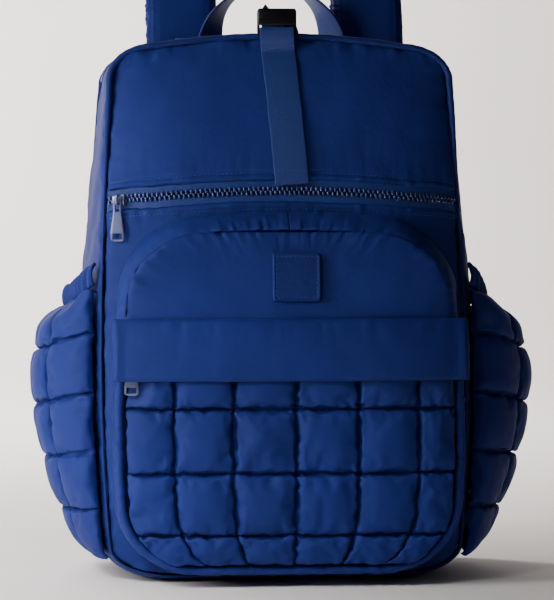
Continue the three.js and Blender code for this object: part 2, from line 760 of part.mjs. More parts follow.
for (const [name, side] of [['left', -1], ['right', 1]]) {
  const path = strapPath(side);
  const width = (share) => lerp(strapWidth, strapEndWidth, clamp(2 * share - 1, 0, 1));
  addPiece(`shoulder_strap_${name}`, band(path, sideways, width, strapThickness, 0.5, 4, 20), nylon);

  // Short webbing from the strap's end round the upper bar of the adjuster
  const end = path.getPoint(1);
  const adjusterZ = end.z - adjusterDrop - adjusterHeight / 2;
  const slot = (adjusterHeight - 3 * adjusterFrame) / 2;
  const adjuster = addPiece(`strap_adjuster_${name}`, slottedFrame(
    lowerWebbingWidth + 2 * adjusterFrame, adjusterHeight, adjusterDepth, adjusterFrame - 1, adjusterFrame,
    [
      [-adjusterHeight / 2 + adjusterFrame, -adjusterFrame / 2],
      [adjusterFrame / 2, adjusterHeight / 2 - adjusterFrame],
    ],
    adjusterCorner,
  ), blackPlastic);
  adjuster.position.set(end.x, end.y, adjusterZ);
  const upperBar = adjusterZ + adjusterHeight / 2 - adjusterFrame / 2;
  const barLow = upperBar - adjusterFrame / 2;
  const clear = adjusterDepth / 2 + webbingThickness / 2 + clearance;
  const tongue = along(
    [end.x, end.y + clear / 2, end.z - 4 * clearance],
    [end.x, end.y + clear, upperBar + 2],
    [end.x, end.y + clear, barLow - 1],
    [end.x, end.y + clear * 0.6, barLow - slot * 0.4],
    [end.x, end.y, barLow - slot * 0.55],
  );
  addPiece(`strap_tongue_${name}`, band(tongue, sideways, () => lowerWebbingWidth, webbingThickness, 1, 2, 8),
    ribbon);

  // Lower webbing from the adjuster's middle bar to the anchor at the base
  const rootX = end.x + side * lowerWebbingSpread;
  const rootY = backPanelY(rootX, anchorHeight) + webbingThickness / 2 + 2 * clearance;
  const lower = along(
    [end.x, end.y - clear, adjusterZ - adjusterHeight / 2 + adjusterFrame / 2],
    [end.x, end.y - clear, adjusterZ - adjusterHeight / 2 - 3],
    [lerp(end.x, rootX, 0.15), lerp(rootY, end.y, 0.6), lerp(adjusterZ, anchorHeight, 0.45)],
    [lerp(end.x, rootX, 0.75), lerp(rootY, end.y, 0.2), lerp(adjusterZ, anchorHeight, 0.8)],
    [rootX, rootY, anchorHeight],
  );
  addPiece(`lower_webbing_${name}`, band(lower, sideways, () => lowerWebbingWidth, webbingThickness, 1, 2, 10),
    ribbon);
}

// Haul handle: webbing that leaves the back seam flat and turns on edge over the top
class HandleCurve extends THREE.Curve {
  getPoint(share, target = new THREE.Vector3()) {
    const angle = Math.PI * share;
    const z = backRing.top - handleRoot + (handleRise + handleRoot) * Math.pow(Math.sin(angle), 0.8);
    const turned = handleWidth / 2 * Math.pow(Math.sin(angle), 0.7);
    const y = backY(bodyHeight) + pipingRadius + handleThickness / 2 + 4 * clearance + turned;
    return target.set(-Math.cos(angle) * handleSpacing / 2, y, z);
  }
}
const handlePath = new HandleCurve();
const handleAcross = (share) => {
  const turned = (Math.PI / 2) * Math.pow(Math.sin(Math.PI * share), 0.7);
  const flat = share < 0.5 ? 1 : -1;
  return point(Math.cos(turned) * flat, Math.sin(turned), 0);
};
addPiece('haul_handle', band(handlePath, handleAcross, () => handleWidth, handleThickness, 1, 2, 20), ribbon);

// Compression webbing: buckle over the top edge, tail down the front panel
const buckleLow = bodyHeight + clearance;
const buckleY = frontY(bodyHeight) - pipingRadius - buckleDepth / 2 - 1;
const lowerBarZ = buckleLow + buckleBar / 2;
const upperBarZ = buckleLow + buckleHeight - buckleBar / 2;
const buckle = addPiece('top_buckle', slottedFrame(
  buckleWidth, buckleHeight, buckleDepth, buckleSide, buckleBar,
  [
    [-buckleHeight / 2 + buckleBar, -buckleHeight / 2 + buckleBar + buckleSlot],
    [buckleHeight / 2 - buckleBar - buckleSlot, buckleHeight / 2 - buckleBar],
  ],
  buckleCorner,
), blackPlastic);
buckle.position.set(buckleX, buckleY, buckleLow + buckleHeight / 2);

const barClear = webbingThickness / 2 + clearance;
const tailY = (z) => Math.min(panelY(0, z), frontY(bodyHeight) - pipingRadius) - barClear - 2 * clearance;
const tailTop = lowerBarZ + buckleBar / 2 + barClear;
const tailLead = [
  [buckleX, buckleY + buckleDepth / 2 + barClear, tailTop],
  [buckleX, buckleY, tailTop + webbingSlack],
  [buckleX, buckleY - buckleDepth / 2 - barClear, tailTop - webbingSlack],
  [buckleX, buckleY - buckleDepth / 2 - barClear, lowerBarZ - buckleBar],
];
const tailStations = 11;
const tailRows = Array.from({ length: tailStations }, (_, i) => {
  const share = (i + 1.1) / (tailStations + 0.1);
  const z = lerp(buckleLow, tailEnd, share);
  return [lerp(buckleX, tailEndX, share), tailY(z), z];
});
addPiece('webbing_tail', band(along(...tailLead, ...tailRows), sideways, () => tailWidth, webbingThickness, 1, 2,
  24), ribbon);

// Webbing from the back seam over the top to the buckle's upper bar
const topGussetZ = (y) => gussetPoint(0.5, (y - frontY(bodyHeight)) / (backY(bodyHeight) - frontY(bodyHeight))).z;
const anchorStations = [0.86, 0.66, 0.45, 0.2];
const anchorY = (share) => lerp(frontY(bodyHeight), backY(bodyHeight), share);
const overTop = [
  [0, backY(bodyHeight) + pipingRadius + backSwell / 2 + barClear, bodyHeight - anchorRoot],
  [0, backY(bodyHeight) + pipingRadius + barClear + webbingSlack, bodyHeight],
  [0, backY(bodyHeight), bodyHeight + pipingRadius + barClear + webbingSlack],
  ...anchorStations.map((share) => [0, anchorY(share), topGussetZ(anchorY(share)) + pipingRadius + barClear]),
  [buckleX, buckleY + buckleDepth / 2 + barClear + 1, upperBarZ - buckleBar / 2 - buckleSlot],
  [buckleX, buckleY + 1, upperBarZ - buckleBar / 2 - buckleSlot / 2],
];
addPiece('anchor_webbing', band(along(...overTop), sideways, () => tailWidth, webbingThickness, 1, 2, 26), ribbon);

// A slider: a flat body with a bridge that the puller's eye hangs on
function solidOf(geometry) {
  deleteAttributes(geometry);
  const closed = mergeVertices(geometry, 1e-4);
  const vertProperties = Float32Array.from(closed.getAttribute('position').array);
  const triVerts = Uint32Array.from(closed.getIndex().array);
  return new wasm.Manifold(new wasm.Mesh({ numProp: 3, vertProperties, triVerts }));
}

function geometryOf(solid) {
  const mesh = solid.getMesh();
  const geometry = new THREE.BufferGeometry();
  geometry.setAttribute('position', new THREE.Float32BufferAttribute(mesh.vertProperties, 3));
  geometry.setIndex(Array.from(mesh.triVerts));
  return facingOut(geometry);
}

function extruded(shape, depth) {
  const solid = new THREE.ExtrudeGeometry(shape, { depth, bevelEnabled: false, curveSegments: 4 });
  return solid.translate(0, 0, -depth / 2);
}

// Body plate in the XZ plane with its back at y = 0, and a bridge standing on it
function sliderGeometry() {
  const plate = new THREE.BoxGeometry(sliderLength, sliderDepth, sliderWidth);
  plate.translate(0, -sliderDepth / 2, 0);
  const half = bridgeLength / 2;
  const foot = sliderDepth - 0.2;
  const crest = sliderDepth + bridgeGap;
  const bridge = new THREE.Shape();
  bridge.moveTo(half, foot);
  bridge.lineTo(half, crest + bridgeBar);
  bridge.lineTo(-half, crest + bridgeBar);
  bridge.lineTo(-half, foot);
  bridge.lineTo(-half + bridgeBar, foot);
  bridge.lineTo(-half + bridgeBar, crest);
  bridge.lineTo(half - bridgeBar, crest);
  bridge.lineTo(half - bridgeBar, foot);
  const arch = extruded(bridge, bridgeWidth);
  arch.applyMatrix4(new THREE.Matrix4().makeBasis(point(0, 0, 1), point(0, -1, 0), point(1, 0, 0)));
  return geometryOf(solidOf(plate).add(solidOf(arch)));
}

// Puller hanging from its eye; the hinge line is the X axis through the origin
function pullerGeometry() {
  const eyeHalf = pullerTopWidth / 2;
  const endHalf = pullerEndWidth / 2;
  const top = pullerRim / 2;
  const eyeLow = top - pullerRim - pullerEyeHeight;
  const low = top - pullerLength;
  const outline = new THREE.Shape();
  outline.moveTo(-eyeHalf, top);
  outline.lineTo(-eyeHalf, eyeLow - pullerRim);
  outline.lineTo(-endHalf, low + pullerHoleHeight + pullerRim);
  outline.lineTo(-endHalf, low + pullerChamfer);
  outline.lineTo(-endHalf + pullerChamfer, low);
  outline.lineTo(endHalf - pullerChamfer, low);
  outline.lineTo(endHalf, low + pullerChamfer);
  outline.lineTo(endHalf, low + pullerHoleHeight + pullerRim);
  outline.lineTo(eyeHalf, eyeLow - pullerRim);
  outline.lineTo(eyeHalf, top);
  const windows = [
    [eyeHalf - pullerRim, eyeLow, top - pullerRim],
    [endHalf - pullerRim, low + pullerRim, low + pullerHoleHeight],
  ];
  for (const [half, from, to] of windows) {
    const hole = new THREE.Path();
    hole.moveTo(-half, from);
    hole.lineTo(-half, to);
    hole.lineTo(half, to);
    hole.lineTo(half, from);
    outline.holes.push(hole);
  }
  return tidy(extruded(outline, pullerThickness)).rotateX(Math.PI / 2);
}

// Seats a slider on a chain's face and hangs its puller on the bridge
function addSlider(name, surface, share, x, proud) {
  const place = shareWhere((across) => surface(across, share).x, x);
  const step = 0.01;
  const seat = surface(place, share);
  const ahead = surface(place + step, share).sub(surface(place - step, share));
  const yaw = Math.atan2(ahead.y, ahead.x);
  const group = new THREE.Group();
  group.position.copy(seat).y -= proud + 2 * clearance;
  group.rotation.z = yaw;
  const slider = new THREE.Mesh(sliderGeometry(), new THREE.MeshStandardMaterial(paintedMetal));
  slider.name = `${name}_slider`;
  const puller = new THREE.Mesh(pullerGeometry(), new THREE.MeshStandardMaterial(paintedMetal));
  puller.name = `${name}_puller`;
  puller.position.y = -sliderDepth - bridgeGap / 2;
  group.add(slider, puller);
  backpack.add(group);
  return group;
}

addSlider('front_zip', frontPanel, zipShare, frontZipSliderX, 0);
addSlider('pocket_zip', zipFace, 0.5, pocketZipSliderX, pocketZipProud);

// Sliders of the main zip, hidden behind the top edge, each one plain piece with its tab
for (const [name, side] of [['left', -1], ['right', 1]]) {
  const turn = 0.5 - side * 0.5 * (1 - ringShares.topCorner) * mainSliderX / (sideHalfTop - topCornerWidth);
  const seat = gusset(turn, mainZipPlace);
  const body = new THREE.BoxGeometry(sliderLength, sliderWidth, sliderDepth);
  const tab = new THREE.BoxGeometry(pullerLength, pullerTopWidth, pullerThickness);
  tab.translate(side * pullerLength / 2, 0, sliderDepth / 2);
  const mesh = addPiece(`main_zip_slider_${name}`, geometryOf(solidOf(body).add(solidOf(tab))), paintedMetal);
  mesh.position.set(seat.x, seat.y, seat.z + sliderDepth / 2 + 2 * clearance);
}

export default backpack;
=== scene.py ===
# %% [markdown]
# # A quilted puffer backpack
# The hard work of measuring is done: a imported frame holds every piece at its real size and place.
# This lesson dresses that frame. Each soft piece is a grid of faces laid on a formula for its sewn
# shape, then puffed, gathered or simulated, and each hard piece is a small mesh with rounded edges.
# All lengths in the formulas are millimetres, and one helper turns them to Blender's metres.

import json
import math

import bmesh
import bpy
from mathutils import Matrix, Vector, noise

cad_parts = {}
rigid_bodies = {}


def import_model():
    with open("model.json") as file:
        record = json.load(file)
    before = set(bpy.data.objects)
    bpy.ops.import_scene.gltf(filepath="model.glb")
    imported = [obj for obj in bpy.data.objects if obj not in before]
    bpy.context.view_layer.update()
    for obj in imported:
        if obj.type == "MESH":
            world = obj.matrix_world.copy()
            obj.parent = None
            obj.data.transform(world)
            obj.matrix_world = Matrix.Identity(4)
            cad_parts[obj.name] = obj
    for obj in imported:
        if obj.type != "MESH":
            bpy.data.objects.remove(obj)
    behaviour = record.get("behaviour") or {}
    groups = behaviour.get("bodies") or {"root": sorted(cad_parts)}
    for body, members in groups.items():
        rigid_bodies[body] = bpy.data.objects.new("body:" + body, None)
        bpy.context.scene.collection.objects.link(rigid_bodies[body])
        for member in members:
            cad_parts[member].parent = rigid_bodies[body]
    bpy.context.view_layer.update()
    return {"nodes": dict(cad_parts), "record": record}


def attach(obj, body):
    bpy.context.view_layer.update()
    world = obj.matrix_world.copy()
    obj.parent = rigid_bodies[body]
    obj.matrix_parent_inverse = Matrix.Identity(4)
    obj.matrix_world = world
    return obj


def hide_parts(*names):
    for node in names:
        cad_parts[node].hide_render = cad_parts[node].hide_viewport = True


for leftover in list(bpy.data.objects):
    bpy.data.objects.remove(leftover)

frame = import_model()
MM = 0.001

# %% [markdown]
# ## Camera and light
# The camera comes first, because every later picture is judged through it. A long lens keeps the
# bag's sides nearly parallel, as a product photograph does. The photograph gives the scale in pixels
# to the millimetre, so the lens follows from the distance.

# %% Camera
photo_height = 600
pixels_per_mm = 1.25
photo_centre = (277, 300)
photo_origin = (279, 582)
view_distance = 2.2
view_azimuth = math.radians(-4.8)
view_rise = math.radians(2.0)
front_plane = -0.072
sensor_height = 24.0

target = Vector((
    (photo_centre[0] - photo_origin[0]) / pixels_per_mm * MM + front_plane * -math.sin(view_azimuth),
    front_plane,
    (photo_origin[1] - photo_centre[1]) / pixels_per_mm * MM,
))
towards_camera = Vector((
    math.sin(view_azimuth) * math.cos(view_rise),
    -math.cos(view_azimuth) * math.cos(view_rise),
    math.sin(view_rise),
))
camera_data = bpy.data.cameras.new("camera")
camera_data.sensor_fit = "VERTICAL"
camera_data.sensor_height = sensor_height
camera_data.lens = sensor_height * view_distance * pixels_per_mm / (photo_height * MM)
camera = bpy.data.objects.new("camera", camera_data)
camera.location = target + towards_camera * view_distance
camera.rotation_euler = towards_camera.to_track_quat("Z", "Y").to_euler()
bpy.context.collection.objects.link(camera)
bpy.context.scene.camera = camera
print("lens in mm:", round(camera_data.lens, 1))

# %% [markdown]
# Studio light is large and soft. The key light stands on the left and a little above, so the right
# side of the bag falls into deep navy, and a weak fill keeps its folds readable. One more lamp washes
# the wall behind the bag, and a narrow one the floor at its left.

# %% Lights
def add_light(name, place, size, power, colour=(1.0, 1.0, 1.0), aim=target):
    data = bpy.data.lights.new(name, "AREA")
    data.shape = "RECTANGLE"
    data.size, data.size_y = size
    data.energy = power
    data.color = colour
    light = bpy.data.objects.new(name, data)
    light.location = place
    light.rotation_euler = (Vector(place) - Vector(aim)).to_track_quat("Z", "Y").to_euler()
    bpy.context.collection.objects.link(light)
    return light


add_light("key_light", (-1.25, -0.52, 0.62), (0.45, 0.7), 17, (1.0, 0.99, 0.97))
add_light("front_fill", (-0.9, -2.4, 1.0), (1.2, 1.2), 1.2)
add_light("top_light", (-1.0, 0.5, 2.2), (1.2, 1.2), 8)
add_light("wall_light", (-1.1, 1.2, 1.7), (1.6, 1.0), 162, (1.0, 0.975, 0.95), aim=(-0.2, 3.1, 0.5))
floor_light = add_light("floor_light", (-1.0, -1.3, 1.1), (0.5, 0.5), 12, aim=(-0.8, -0.5, 0.0))
floor_light.data.spread = math.radians(60)
world = bpy.data.worlds.new("studio_air")
world.use_nodes = True
air = world.node_tree.nodes["Background"].inputs
air["Color"].default_value = (0.9, 0.93, 1.0, 1.0)
air["Strength"].default_value = 0.035
bpy.context.scene.world = world

# %% [markdown]
# ## Colour and material helpers
# Colours are written as the hex values a colour picker shows. Blender shades in linear light, so one
# function turns them. A second function adds a node with its settings and links.

# %% Helpers for materials
def linear(hex_code):
    parts = [int(hex_code[i:i + 2], 16) / 255 for i in (1, 3, 5)]
    curve = [part / 12.92 if part <= 0.04045 else ((part + 0.055) / 1.055) ** 2.4 for part in parts]
    return (*curve, 1.0)


def add_node(tree, kind, settings=None, links=None):
    node = tree.nodes.new(kind)
    for key, value in (settings or {}).items():
        if isinstance(key, int) or key in node.inputs:
            node.inputs[key].default_value = value
        else:
            setattr(node, key, value)
    for key, source in (links or {}).items():
        tree.links.new(source, node.inputs[key])
    return node


def new_material(name):
    material = bpy.data.materials.new(name)
    material.use_nodes = True
    tree = material.node_tree
    tree.nodes.clear()
    return material, tree


def finish_material(material, tree, settings, links):
    shader = add_node(tree, "ShaderNodeBsdfPrincipled", settings, links)
    add_node(tree, "ShaderNodeOutputMaterial", {}, {"Surface": shader.outputs["BSDF"]})
    print("material:", material.name, "nodes:", len(tree.nodes))
    return material


def two_tones(tree, factor, dark, light, low=0.3, high=0.7):
    ramp = add_node(tree, "ShaderNodeValToRGB", {}, {"Fac": factor})
    ramp.color_ramp.elements[0].position = low
    ramp.color_ramp.elements[0].color = linear(dark)
    ramp.color_ramp.elements[1].position = high
    ramp.color_ramp.elements[1].color = linear(light)
    return ramp.outputs["Color"]


# %% [markdown]
# The shell is nylon taffeta: a plain weave of fine filament yarn, calendered on one side. To the eye
# it is a deep royal blue with a soft sheen, small crinkles from the filling behind it and a weave that
# only just shows. The real threads are about 0.15 mm apart. They are drawn at 0.9 mm, because anything
# finer than a pixel would only make noise.

# %% Nylon taffeta
shell_thread = 0.9 * MM
crinkle_size = 11 * MM


def make_nylon(name, dark, light):
    material, tree = new_material(name)
    place = add_node(tree, "ShaderNodeTexCoord").outputs["Object"]
    patches = add_node(tree, "ShaderNodeTexNoise", {"Scale": 9.0, "Detail": 3.0}, {"Vector": place})
    colour = two_tones(tree, patches.outputs["Fac"], dark, light)
    crinkle = add_node(tree, "ShaderNodeTexNoise", {
        "Scale": 1 / crinkle_size, "Detail": 4.0, "Roughness": 0.55, "Distortion": 0.6,
    }, {"Vector": place})
    weft = add_node(tree, "ShaderNodeTexWave", {
        "bands_direction": "Z", "Scale": 1 / (shell_thread * math.tau), "Distortion": 0.4,
    }, {"Vector": place})
    warp = add_node(tree, "ShaderNodeTexWave", {
        "bands_direction": "DIAGONAL", "Scale": 1 / (shell_thread * math.tau), "Distortion": 0.4,
    }, {"Vector": place})
    weave = add_node(tree, "ShaderNodeMath", {"operation": "MULTIPLY"}, {
        0: weft.outputs["Fac"], 1: warp.outputs["Fac"],
    })
    soft = add_node(tree, "ShaderNodeBump", {"Strength": 0.3, "Distance": 1.0 * MM}, {
        "Height": crinkle.outputs["Fac"],
    })
    fine = add_node(tree, "ShaderNodeBump", {"Strength": 0.22, "Distance": 0.12 * MM}, {
        "Height": weave.outputs["Value"], "Normal": soft.outputs["Normal"],
    })
    roughness = add_node(tree, "ShaderNodeMapRange", {"To Min": 0.6, "To Max": 0.74}, {
        "Value": crinkle.outputs["Fac"],
    })
    return finish_material(material, tree, {
        "IOR": 1.53, "Specular IOR Level": 0.16, "Sheen Weight": 0.08, "Sheen Roughness": 0.4,
        "Sheen Tint": linear("#5f84e8"),
    }, {
        "Base Color": colour, "Roughness": roughness.outputs["Result"],
        "Normal": fine.outputs["Normal"],
    })


nylon = make_nylon("nylon_taffeta", "#162363", "#1a2972")
nylon_binding = make_nylon("nylon_binding", "#14205a", "#182568")

# %% [markdown]
# Webbing is flat polyamide ribbon, woven tight on a narrow loom. It shows a chevron of ribs about
# 2 mm wide along its length and a thicker edge. The ribs follow the piece's own UV map, which is laid
# in metres, so they bend with the webbing. Their colour follows the ribs: painted shade darkens
# the grooves and a painted highlight lightens the rib tops.

# %% Polyamide webbing
rib_width = 2.0 * MM


def make_webbing(name, dark, light):
    material, tree = new_material(name)
    uv = add_node(tree, "ShaderNodeTexCoord").outputs["UV"]
    fold = add_node(tree, "ShaderNodeSeparateXYZ", {}, {"Vector": uv})
    triangle = add_node(tree, "ShaderNodeMath", {"operation": "PINGPONG", 1: 3.4 * MM}, {
        0: fold.outputs["X"],
    })
    chevron = add_node(tree, "ShaderNodeMath", {"operation": "ADD"}, {
        0: triangle.outputs["Value"], 1: fold.outputs["Y"],
    })
    turns = add_node(tree, "ShaderNodeMath", {"operation": "MULTIPLY", 1: math.tau / rib_width}, {
        0: chevron.outputs["Value"],
    })
    ribs = add_node(tree, "ShaderNodeMath", {"operation": "SINE"}, {0: turns.outputs["Value"]})
    height = add_node(tree, "ShaderNodeMapRange", {"From Min": -1.0, "From Max": 1.0}, {
        "Value": ribs.outputs["Value"],
    })
    # painted shade and highlight: colour darker in the rib grooves, lighter on the rib tops
    colour = two_tones(tree, height.outputs["Result"], dark, light, 0.0, 1.0)
    bump = add_node(tree, "ShaderNodeBump", {"Strength": 0.5, "Distance": 0.3 * MM}, {
        "Height": height.outputs["Result"],
    })
    return finish_material(material, tree, {
        "Roughness": 0.58, "IOR": 1.53, "Specular IOR Level": 0.35, "Sheen Weight": 0.15,
        "Sheen Tint": linear("#8ea6dc"),
    }, {"Base Color": colour, "Normal": bump.outputs["Normal"]})


webbing = make_webbing("polyamide_webbing", "#142a66", "#1b3478")
zip_tape = make_webbing("polyester_zip_tape", "#0f2668", "#16327c")

# %% [markdown]
# The teeth are moulded acetal, a smooth hard plastic with a wet highlight. The pullers are die-cast
# zinc under a grey-blue lacquer, and the buckle is glossy black nylon. The thread is bonded polyester.

# %% Moulded, cast and spun materials
def make_moulded(name, dark, light, shader, grain=0.6 * MM, depth=0.03 * MM):
    material, tree = new_material(name)
    place = add_node(tree, "ShaderNodeTexCoord").outputs["Object"]
    speck = add_node(tree, "ShaderNodeTexNoise", {"Scale": 1 / grain, "Detail": 2.0}, {"Vector": place})
    cloud = add_node(tree, "ShaderNodeTexNoise", {"Scale": 60.0, "Detail": 2.0}, {"Vector": place})
    colour = two_tones(tree, cloud.outputs["Fac"], dark, light)
    bump = add_node(tree, "ShaderNodeBump", {"Strength": 0.3, "Distance": depth}, {
        "Height": speck.outputs["Fac"],
    })
    return finish_material(material, tree, shader, {
        "Base Color": colour, "Normal": bump.outputs["Normal"],
    })


acetal = make_moulded("moulded_acetal", "#16265e", "#22367c",
                      {"Roughness": 0.24, "IOR": 1.48, "Specular IOR Level": 0.7})
lacquered_zinc = make_moulded("lacquered_zinc", "#575d80", "#6d7396",
                              {"Roughness": 0.33, "Metallic": 0.75})
black_nylon = make_moulded("glossy_black_nylon", "#07070a", "#0d0d11",
                           {"Roughness": 0.2, "IOR": 1.53})
thread = make_moulded("bonded_thread", "#16357f", "#2248a0",
                      {"Roughness": 0.5, "IOR": 1.55}, 0.4 * MM, 0.1 * MM)

# %% [markdown]
# ## Mesh helpers
# A sewn panel is a flat grid pulled onto a formula: the formula gives a point for each share across
# and along. Once it lies there, its own normals say which way to puff it. `bmesh` makes the grid, and
# Solidify gives it the thickness of padded cloth.

# %% Helpers for meshes
def write_piece(name, bm, material, nodes=(), body="bag", wall=0.0, levels=0):
    mesh = bpy.data.meshes.new(name)
    bm.to_mesh(mesh)
    bm.free()
    mesh.shade_smooth()
    mesh.materials.append(material)
    piece = bpy.data.objects.new(name, mesh)
    bpy.context.collection.objects.link(piece)
    if wall:
        solid = piece.modifiers.new("wall", "SOLIDIFY")
        solid.thickness = wall * MM
        solid.offset = -1.0
    if levels:
        smooth = piece.modifiers.new("smooth", "SUBSURF")
        smooth.levels = levels
        smooth.render_levels = levels
    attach(piece, body)
    if nodes:
        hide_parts(*nodes)
    print("piece:", name, "faces:", len(mesh.polygons))
    return piece


def laid_grid(surface, columns, rows, outward, relief=None, span=(1.0, 1.0)):
    bm = bmesh.new()
    bmesh.ops.create_grid(bm, x_segments=columns, y_segments=rows, size=0.5)
    uv = bm.loops.layers.uv.new("UVMap")
    for face in bm.faces:
        for loop in face.loops:
            loop[uv].uv = ((loop.vert.co.x + 0.5) * span[0] * MM, (loop.vert.co.y + 0.5) * span[1] * MM)
    shares = [(vert.co.x + 0.5, vert.co.y + 0.5) for vert in bm.verts]
    for vert, (u, v) in zip(bm.verts, shares):
        vert.co = surface(u, v) * MM
    bm.normal_update()
    if sum(vert.normal.dot(outward(vert.co / MM)) for vert in bm.verts) < 0:
        bmesh.ops.reverse_faces(bm, faces=bm.faces[:])
        bm.normal_update()
    if relief:
        moves = [vert.normal * relief(u, v, vert.co / MM) * MM for vert, (u, v) in zip(bm.verts, shares)]
        for vert, move in zip(bm.verts, moves):
            vert.co += move
    return bm


def lerp(a, b, share):
    return a + (b - a) * share


def clamp(value, low, high):
    return max(low, min(high, value))


def dip(distance, reach):
    return math.exp(-(distance / reach) ** 2)


def sink(away, depth, reach=None):
    return depth * math.exp(-away / (reach or depth))


def ripple(place, size, seed):
    return noise.noise(Vector((place.x / size + seed, place.y / size, place.z / size)))


def pucker(along, away, size, reach, seed):
    """Small folds that start square to a seam and fade over their reach."""
    fold = noise.noise(Vector((along / size, away / (4 * size), seed)))
    fold += 0.5 * noise.noise(Vector((along / (0.45 * size), away / (2 * size), seed + 5)))
    return math.exp(-away / reach) * fold


forwards = lambda place: Vector((0, -1, 0))
backwards = lambda place: Vector((0, 1, 0))

# %% [markdown]
# ## The seam lines
# The bag hangs together from three closed seams: one round the front, one round the back and the
# widest line of the sides between them. Each is a base, a corner, a bowed side, a corner and a crowned
# top. The same few sizes as in the frame give them, so every piece meets its neighbour.

# %% Seam sizes in millimetres
body_height = 437
seam_lift = 5
base_depth = 150
front_lean = 20
back_lean = 6
piping_radius = 2.7
sway = -4
base_corner = (50, 24)
top_corner = (38, 28)
top_crown = 8
base_sag = 9
front_swell = 20
back_swell = 4
base_share, base_corner_share, side_share, top_corner_share = 0.16, 0.29, 0.71, 0.84


def make_ring(half_base, half_top, bow):
    return {
        "low": seam_lift, "top": body_height, "half_base": half_base, "half_top": half_top, "bow": bow,
        "sway": sway, "crown": top_crown, "base_corner": base_corner, "top_corner": top_corner,
    }


def inset(ring, side, low=None, top=None):
    low = side if low is None else low
    top = side if top is None else top
    return {
        **ring,
        "low": ring["low"] + low, "top": ring["top"] - top,
        "half_base": ring["half_base"] - side, "half_top": ring["half_top"] - side,
        "base_corner": (ring["base_corner"][0] - side, ring["base_corner"][1] - low),
        "top_corner": (ring["top_corner"][0] - side, ring["top_corner"][1] - side),
    }


front_ring = make_ring(141, 137, 7)
side_ring = make_ring(149, 141, 15)
back_ring = make_ring(147, 141, 13)


def side_low(ring):
    return ring["low"] + ring["base_corner"][1]


def side_top(ring):
    return ring["top"] - ring["crown"] - ring["top_corner"][1]


def side_half(ring, share):
    bulge = math.sin(math.pi * share ** 0.8)
    return lerp(ring["half_base"], ring["half_top"], share) + ring["bow"] * bulge


def half_at(ring, z):
    low, top = side_low(ring), side_top(ring)
    if z < low:
        fall = clamp((low - z) / ring["base_corner"][1], 0, 1)
        return ring["half_base"] - ring["base_corner"][0] * (1 - math.sqrt(1 - fall * fall))
    return side_half(ring, clamp((z - low) / (top - low), 0, 1))


def whole_half_at(ring, z):
    top = side_top(ring)
    if z <= top:
        return half_at(ring, z)
    rise = clamp((z - top) / ring["top_corner"][1], 0, 1)
    return ring["half_top"] - ring["top_corner"][0] * (1 - math.sqrt(1 - rise * rise))


def ring_point(ring, turn):
    whole = turn - math.floor(turn)
    mirrored = whole > 0.5
    share = 2 * (1 - whole if mirrored else whole)
    flat_base = ring["half_base"] - ring["base_corner"][0]
    flat_top = ring["half_top"] - ring["top_corner"][0]
    if share < base_share:
        x, z = flat_base * share / base_share, ring["low"]
    elif share < base_corner_share:
        angle = math.pi / 2 * (share - base_share) / (base_corner_share - base_share)
        x = flat_base + ring["base_corner"][0] * math.sin(angle)
        z = side_low(ring) - ring["base_corner"][1] * math.cos(angle)
    elif share < side_share:
        up = (share - base_corner_share) / (side_share - base_corner_share)
        x, z = side_half(ring, up), lerp(side_low(ring), side_top(ring), up)
    elif share < top_corner_share:
        angle = math.pi / 2 * (share - side_share) / (top_corner_share - side_share)
        x = flat_top + ring["top_corner"][0] * math.cos(angle)
        z = side_top(ring) + ring["top_corner"][1] * math.sin(angle)
    else:
        x = flat_top * (1 - share) / (1 - top_corner_share)
        z = ring["top"] - ring["crown"] * (x / flat_top) ** 2
    return (-x if mirrored else x) + ring["sway"] * z / ring["top"], z


def front_y(z):
    return -base_depth / 2 + front_lean * clamp(z / body_height, 0, 1) ** 1.6


def back_y(z):
    return base_depth / 2 - back_lean * clamp(z / body_height, 0, 1) ** 2


def puff(ring, x, z):
    across = clamp((x - ring["sway"] * z / ring["top"]) / half_at(ring, z), -1, 1)
    up = clamp((2 * z - ring["low"] - ring["top"]) / (ring["top"] - ring["low"]), -1, 1)
    return (1 - across ** 4) * (1 - up ** 4)


def panel_y(x, z):
    return front_y(z) - front_swell * puff(front_ring, x, z)


def back_panel_y(x, z):
    return back_y(z) + back_swell * puff(back_ring, x, z)


def seam_panel(ring, depth_at):
    """A point of a panel blended from its four sides, with its corners in the middle of the bends."""
    base_turn = (base_share + base_corner_share) / 4
    top_turn = (side_share + top_corner_share) / 4

    def surface(u, v):
        low = Vector(ring_point(ring, lerp(-base_turn, base_turn, u)))
        high = Vector(ring_point(ring, lerp(1 - top_turn, top_turn, u)))
        left = Vector(ring_point(ring, lerp(1 - base_turn, 1 - top_turn, v)))
        right = Vector(ring_point(ring, lerp(base_turn, top_turn, v)))
        corners = [Vector(ring_point(ring, turn)) for turn in (-base_turn, base_turn, -top_turn, top_turn)]
        place = (1 - v) * low + v * high + (1 - u) * left + u * right
        place -= (1 - u) * (1 - v) * corners[0] + u * (1 - v) * corners[1]
        place -= (1 - u) * v * corners[2] + u * v * corners[3]
        return Vector((place.x, depth_at(place.x, place.y), place.y))

    return surface


def share_where(value, goal):
    low, high = 0.0, 1.0
    for _ in range(40):
        middle = (low + high) / 2
        if value(middle) < goal:
            low = middle
        else:
            high = middle
    return low


print("front seam half width at the base and at mid height:",
      front_ring["half_base"], round(half_at(front_ring, body_height / 2), 1))

# %% [markdown]
# ## Front panel
# Two padded cloths meet at the zip. Each edge there is turned under and topstitched, which leaves a
# soft roll and a shallow channel. Along the piping the cloth dives into the seam with short puckers.

# %% Front panel above and below the zip
zip_height = 313
zip_band = 16
panel_width = 280
panel_height = 425
stitch_inset = 6.5
seam_sink = 2.6
shell_wall = 1.6
panel_columns = 150

front_panel = seam_panel(inset(front_ring, piping_radius * 0.5), panel_y)
zip_share = share_where(lambda share: front_panel(0.5, share).z, zip_height)
band_share = share_where(lambda share: front_panel(0.5, share).z, zip_height + zip_band / 2) - zip_share
band_scale = 2 * band_share / zip_band


